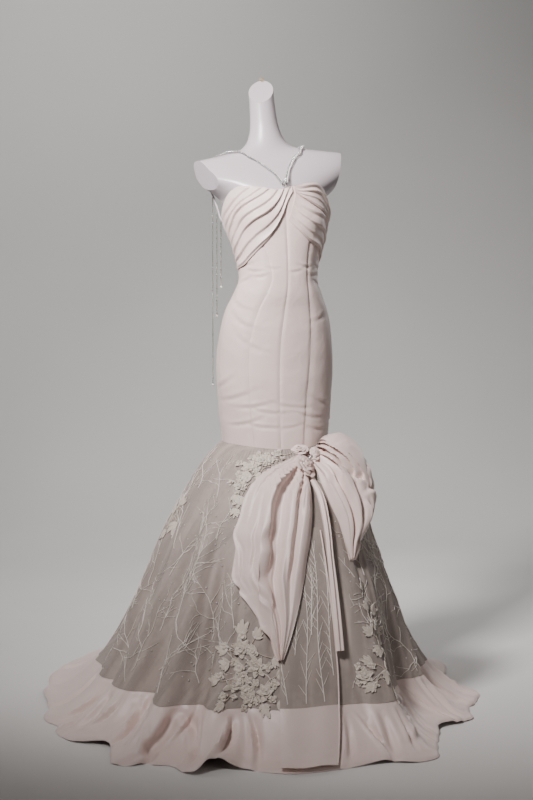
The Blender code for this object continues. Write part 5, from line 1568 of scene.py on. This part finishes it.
class GOWN_OT_jewels(bpy.types.Operator):
    """Beaded straps, brooch, link strap and hanging strands"""

    bl_idname = "gown.jewels"
    bl_label = "Beads and brooch"

    def execute(self, context):
        left = strap_route(LEFT_STRAP, -1, LEFT_STAND_OFF, 90)
        right = strap_route(RIGHT_STRAP, 1, RIGHT_STAND_OFF, 120)
        bead = sizes().strap_bead
        for name, route in (("strap_left", left), ("strap_right", right)):
            parts = [beads("pearls", [beside(route, 0.0026)], 2.9 * bead, bead, "pearl"),
                     beads("crystals", [beside(route, -0.0026)], 2.9 * bead, bead, "crystal"),
                     beads("silver_beads", [route], 3.4 * bead, 0.75 * bead, "silver")]
            settle(join("beaded_" + name, parts), [name])
        centre = np.array(BROOCH) - np.array((0.0, 0.0045, 0.0))

        def circle(radius, forward, turn):
            return centre + np.stack([radius * np.cos(turn), 0.0 * turn - forward, radius * np.sin(turn)], -1)

        turn = np.linspace(0.0, 2 * math.pi, 12)
        ring = circle(0.0092, 0.0, turn)
        small = circle(0.0052, 0.002, turn[::2])
        heart = np.array([centre - (0.0, 0.002, 0.0), centre - (0.0, 0.0021, 0.0)])
        parts = [beads("ring", [ring], 0.0051, 0.0024, "crystal"),
                 beads("inner", [small], 0.0051, 0.0021, "silver"),
                 beads("heart", [heart], 0.01, 0.0040, "crystal")]
        settle(join("brooch_stones", parts), ["brooch"])
        coarse = strap_route(LEFT_STRAP, -1, LEFT_STAND_OFF, 22)
        start = coarse[-1] + (SEAM + 2 * LINK_EASE) * unit(coarse[-1] - coarse[-2])
        angle, height = np.array(LINK_ENDS).T
        ends = body_point(angle, height, np.full(len(angle), LINK_RADIUS + LINK_EASE))
        route = np.vstack([start, LINK, ends])
        link = grow("smooth_link", line_object("link_line", [smooth_route(route, 60)]), cord_tree, {
            "Radius": LINK_RADIUS, "Sides": 12}, finish_of("form"))
        settle(link, ["link_strap"])
        points = smooth_route(route, 16)
        bead = sizes().strand_bead
        for number, (place, length) in enumerate(STRANDS, 1):
            aside = unit(np.cross(points[place + 1] - points[place - 1], (0.0, 0.0, 1.0)))
            top = points[place] + (LINK_RADIUS + STRAND_RADIUS + SEAM) * aside
            drop = np.linspace(0.0, length, 60)[:, None]
            line = top - drop * np.array((0.0, 0.0, 1.0))
            tip = np.array([line[-1], line[-1] - (0.0, 0.0, 0.0001)])
            marks = [line[k] - np.outer((0.0, 0.0001), (0.0, 0.0, 1.0)) for k in range(8, 60, 7)]
            parts = [beads("small", [line], 2.6 * bead, bead, "silver"),
                     beads("stones", marks, 0.01, 1.35 * bead, "crystal"),
                     beads("drop", [tip], 0.01, 1.7 * bead, "pearl")]
            settle(join(f"beads_hanging_{number}", parts), [f"bead_strand_{number}"])
        return {"FINISHED"}


def lamp(name, place, aim, energy, size, spread, colour):
    data = bpy.data.lights.new(name, "AREA")
    data.energy = energy
    data.size = size
    data.spread = math.radians(spread)
    data.color = colour
    made = bpy.data.objects.new(name, data)
    ahead = unit(np.array(place, float) - np.array(aim, float))
    side = unit(np.cross((0.0, 0.0, 1.0), ahead))
    axes = np.stack([side, np.cross(ahead, side), ahead], -1)
    turn = Matrix([list(map(float, row)) for row in axes]).to_4x4()
    made.matrix_world = Matrix.Translation([float(c) for c in place]) @ turn
    bpy.context.scene.collection.objects.link(made)


class GOWN_OT_stage(bpy.types.Operator):
    """Pale floor that curves up behind, soft lamps and the camera"""

    bl_idname = "gown.stage"
    bl_label = "Stage"

    def execute(self, context):
        steps = np.linspace(0.0, 1.0, 25)
        bend = [(FLOOR_BACK + FLOOR_CURVE * math.sin(t * math.pi / 2),
                 FLOOR_CURVE - FLOOR_CURVE * math.cos(t * math.pi / 2)) for t in steps]
        run = [(-FLOOR_REACH, 0.0), *bend, (FLOOR_BACK + FLOOR_CURVE, FLOOR_TOP)]
        across = np.array([-FLOOR_REACH, FLOOR_REACH])
        points = np.array([[(x, y, z) for x in across] for y, z in run]).reshape(-1, 3)
        points[:, 2] -= 0.0002
        faces = [(2 * k, 2 * k + 1, 2 * k + 3, 2 * k + 2) for k in range(len(run) - 1)]
        made = Finish("backdrop", 0.85)
        shade = made.noise(made.place(), 1.4, 2.0)
        made.feed("Base Color", made.mixed(shade, *FLOOR_COLOURS))
        floor = mesh_object("floor", points, faces, made.material)
        for row in LAMPS:
            lamp(*row)
        world = bpy.data.worlds.new("room")
        world.use_nodes = True
        sky = world.node_tree.nodes["Background"]
        sky.inputs[0].default_value = WORLD_COLOUR
        sky.inputs[1].default_value = WORLD_STRENGTH
        context.scene.world = world
        data = bpy.data.cameras.new("camera")
        data.sensor_fit = "VERTICAL"
        data.sensor_height = 24.0
        data.lens = CAMERA_LENS
        camera = bpy.data.objects.new("camera", data)
        camera.location = CAMERA_PLACE
        camera.rotation_euler = [math.radians(a) for a in CAMERA_TURN]
        context.scene.collection.objects.link(camera)
        context.scene.camera = camera
        return {"FINISHED"}


class GOWN_PT_pieces(bpy.types.Panel):
    """The gown's pieces, sizes and colours"""

    bl_label = "Mermaid gown"
    bl_space_type = "VIEW_3D"
    bl_region_type = "UI"
    bl_category = "Gown"

    def draw(self, context):
        for step in STEPS:
            self.layout.operator(step.bl_idname)
        for group in (context.scene.gown_sizes, context.scene.gown_colours):
            for name in group.bl_rna.properties.keys():
                if name not in ("rna_type", "name"):
                    self.layout.prop(group, name)


STEPS = (GOWN_OT_stage, GOWN_OT_form, GOWN_OT_bodice, GOWN_OT_drapes, GOWN_OT_skirt, GOWN_OT_bow,
         GOWN_OT_roses, GOWN_OT_lace, GOWN_OT_embroidery, GOWN_OT_jewels)
CLASSES = (GownSizes, GownColours, *STEPS, GOWN_PT_pieces)


def register():
    for kind in CLASSES:
        bpy.utils.register_class(kind)
    bpy.types.Scene.gown_sizes = bpy.props.PointerProperty(type=GownSizes)
    bpy.types.Scene.gown_colours = bpy.props.PointerProperty(type=GownColours)


def unregister():
    del bpy.types.Scene.gown_colours
    del bpy.types.Scene.gown_sizes
    for kind in reversed(CLASSES):
        bpy.utils.unregister_class(kind)


def main():
    register()
    for step in STEPS:
        group, name = step.bl_idname.split(".")
        getattr(getattr(bpy.ops, group), name)()


if __name__ == "__main__":
    main()
